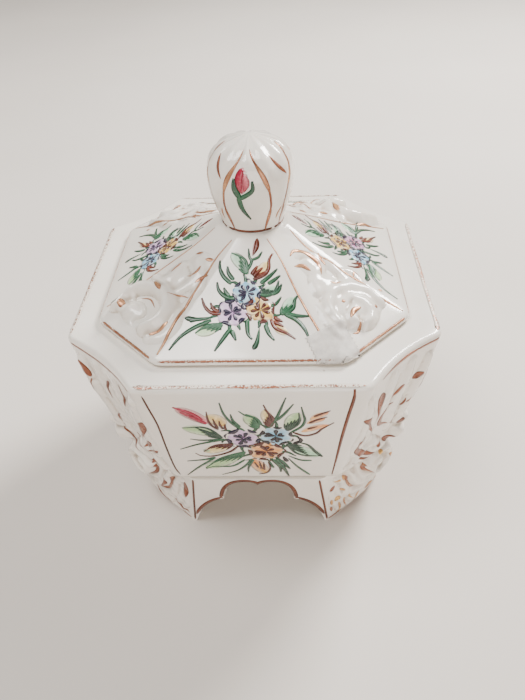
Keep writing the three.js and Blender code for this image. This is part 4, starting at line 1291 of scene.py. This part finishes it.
bud = Film()
for face in ("front", "back"):
    place = round_place(FACES[face] + PETAL_TURN - 4)
    wash(bud, place, [(0.2, 20.3), (-0.2, 17), (-0.2, 13.6)], 3.2, "rose", "crimson", "petal", 1)
    paint(bud, place, [(-0.2, 20.2), (-0.9, 17), (-0.6, 14)], 1.5, "crimson", "crimson", "leaf")
    paint(bud, place, [(0.6, 18.6), (0.9, 16.4), (0.3, 14.2)], 1.2, "rose", "crimson", "leaf")
    paint(bud, place, [(-2.2, 17.6), (-2.0, 15), (-0.9, 12.4)], 1.1, "dark green", "green")
    paint(bud, place, [(2.4, 17.1), (2.2, 14.4), (-0.9, 12)], 0.9, "dark green", "green")
    paint(bud, place, [(1.6, 5.2), (-0.4, 8.6), (-1.2, 12.6)], 0.9, "dark green", "green")
paint_piece("knob_rosebud", bud, "lid")

# ================================================================ strip of clear tape
# A short strip of clear adhesive tape sticks to the front right ridge of the lid. It is matt, bulges
# a little over the ridge, and lets the porcelain through.

# Matt clear tape: polypropylene film with a frosted back, greyish where air is caught under it in
# patches of 2 or 3 mm.
tape_material, tree = new_material("matt polypropylene tape, cast film")
where = add(tree, "ShaderNodeTexCoord").outputs["Object"]
air = add(tree, "ShaderNodeTexNoise", {"Scale": 420.0, "Detail": 3.0}, {"Vector": where})
haze = add(tree, "ShaderNodeValToRGB", {"stops": [(0.35, linear("#DAD4CC")), (0.65, linear("#EDE8E0"))]},
           {"Fac": air.outputs["Fac"]})
stuck = add(tree, "ShaderNodeMapRange", {"To Min": 0.5, "To Max": 0.85}, {"Value": air.outputs["Fac"]})
crease = add(tree, "ShaderNodeBump", {"Strength": 0.3, "Distance": 0.0001}, {"Height": air.outputs["Fac"]})
shade = add(tree, "ShaderNodeBsdfPrincipled", {"Roughness": 0.5, "IOR": 1.49},
            {"Base Color": haze.outputs["Color"], "Alpha": stuck.outputs[0], "Normal": crease.outputs[0]})
add(tree, "ShaderNodeOutputMaterial", links={"Surface": shade.outputs[0]})

TAPE_THICK = 0.06
TAPE_POINTS = 26                                       # along each side of the strip
low_ridge = np.array([LID_EDGE["face"], -LID_EDGE["half"], LID_BOTTOM + LID_EDGE_HEIGHT])
high_ridge = np.array([LID_FLAT["face"], -LID_FLAT["half"], LID_TOP])
along = (high_ridge - low_ridge) / np.linalg.norm(high_ridge - low_ridge)
over = np.array([0.3, -0.3, 0.9])
over /= np.linalg.norm(over)
easel = (low_ridge + along * 1.2, np.cross(along, over), along, over)
us, vs = np.meshgrid(np.linspace(-6.2, 5.2, TAPE_POINTS), np.linspace(-1.2, 9.6, TAPE_POINTS))
lean = us + 0.12 * (vs - 5)
ragged = 0.25 * np.sin(vs * 5.1) * (np.abs(us) > 3)
spots, normals, _ = press(top_tree, easel, (lean + ragged).ravel(), vs.ravel())
cushion = 0.10 + 0.12 * np.exp(-(us.ravel() / 1.6) ** 2)               # air under it along the ridge
top = spots + normals * cushion[:, None]
under_side = spots + normals * (cushion - TAPE_THICK)[:, None]
tape_faces = slab(grid_quads(TAPE_POINTS, TAPE_POINTS), len(top))
tape = piece("tape_strip", np.vstack([top, under_side]), tape_faces, tape_material, "lid")
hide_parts("clear_tape_strip")

# ================================================================ floor, lights and camera
# A pale paper floor that sweeps up into a low round wall, so that no horizon shows. A soft key light
# 0.3 m across stands over the back right, with a ceiling bounce and a weak warm fill in front.

# Matt paper, a little mottled.
backdrop_material, tree = new_material("pale seamless paper")
fleck = add(tree, "ShaderNodeTexNoise", {"Scale": 30.0, "Detail": 2.0})
paper = add(tree, "ShaderNodeValToRGB", {"stops": [(0.3, linear("#D9D1C8")), (0.7, linear("#DED7CE"))]},
            {"Fac": fleck.outputs["Fac"]})
shade = add(tree, "ShaderNodeBsdfPrincipled", {"Roughness": 0.9}, {"Base Color": paper.outputs["Color"]})
add(tree, "ShaderNodeOutputMaterial", links={"Surface": shade.outputs[0]})
SWEEP = [(0.3, 0.0), (1.2, 0.0), (1.55, 0.03), (1.85, 0.13), (2.08, 0.3), (2.22, 0.55),
         (2.28, 0.95)]                                 # radius and height, in metres
AROUND = 72
turns = [(math.cos(math.tau * k / AROUND), math.sin(math.tau * k / AROUND)) for k in range(AROUND)]
sweep_points = [(0.0, 0.0, 0.0)] + [(r * x, r * y, z) for r, z in SWEEP for x, y in turns]
sweep_faces = [(0, 1 + k, 1 + (k + 1) % AROUND) for k in range(AROUND)]
for row in range(len(SWEEP) - 1):
    low, high = 1 + row * AROUND, 1 + (row + 1) * AROUND
    sweep_faces += [(low + k, high + k, high + (k + 1) % AROUND, low + (k + 1) % AROUND)
                    for k in range(AROUND)]
floor_mesh = bpy.data.meshes.new("floor")
floor_mesh.from_pydata(sweep_points, [], sweep_faces)
floor_mesh.shade_smooth()
floor_mesh.materials.append(backdrop_material)
floor = bpy.data.objects.new("floor", floor_mesh)
bpy.context.scene.collection.objects.link(floor)

AIM = (0, 0, 0.05)                                     # the middle of the vessel


def soft_light(name, place, size, power, colour):
    """A round lamp at a place in metres, of a size in metres and a power in watts, turned to the box."""
    lamp = bpy.data.lights.new(name, "AREA")
    lamp.shape, lamp.size, lamp.energy, lamp.color = "DISK", size, power, colour
    thing = bpy.data.objects.new(name, lamp)
    thing.location = place
    thing.rotation_euler = (Vector(place) - Vector(AIM)).to_track_quat("Z", "Y").to_euler()
    bpy.context.scene.collection.objects.link(thing)


soft_light("window light", (0.42, 0.50, 0.62), 0.3, 15.5, (1.0, 0.98, 0.95))
soft_light("ceiling bounce", (-0.35, -0.1, 1.0), 0.6, 10.5, (1.0, 0.985, 0.965))
soft_light("room fill", (0.3, -0.9, 0.30), 0.7, 4.8, (1.0, 0.93, 0.90))
world = bpy.data.worlds.new("room")
world.use_nodes = True
world.node_tree.nodes["Background"].inputs["Color"].default_value = linear("#CFCBC8")
world.node_tree.nodes["Background"].inputs["Strength"].default_value = 0.4
bpy.context.scene.world = world

# The camera is in front and above, about 180 mm from the middle of the lid, and looks down on it.
YAW, PITCH, ROLL = math.radians(-2.901), math.radians(40.690), math.radians(-2.559)
level = Vector((math.sin(YAW), math.cos(YAW), 0))
sideways = Vector((math.cos(YAW), -math.sin(YAW), 0))
upward = Vector((0, 0, 1))
looking = level * math.cos(PITCH) - upward * math.sin(PITCH)
head = upward * math.cos(PITCH) + level * math.sin(PITCH)
right_hand = sideways * math.cos(ROLL) + head * math.sin(ROLL)
top_hand = head * math.cos(ROLL) - sideways * math.sin(ROLL)
lens = bpy.data.cameras.new("camera")
lens.lens, lens.sensor_width = 31.89, 36.0             # millimetres
lens.clip_start = 0.01
camera = bpy.data.objects.new("camera", lens)
camera.matrix_world = Matrix((right_hand, top_hand, -looking)).transposed().to_4x4()
camera.location = (0.00924, -0.16147, 0.17929)
bpy.context.scene.collection.objects.link(camera)
bpy.context.scene.camera = camera
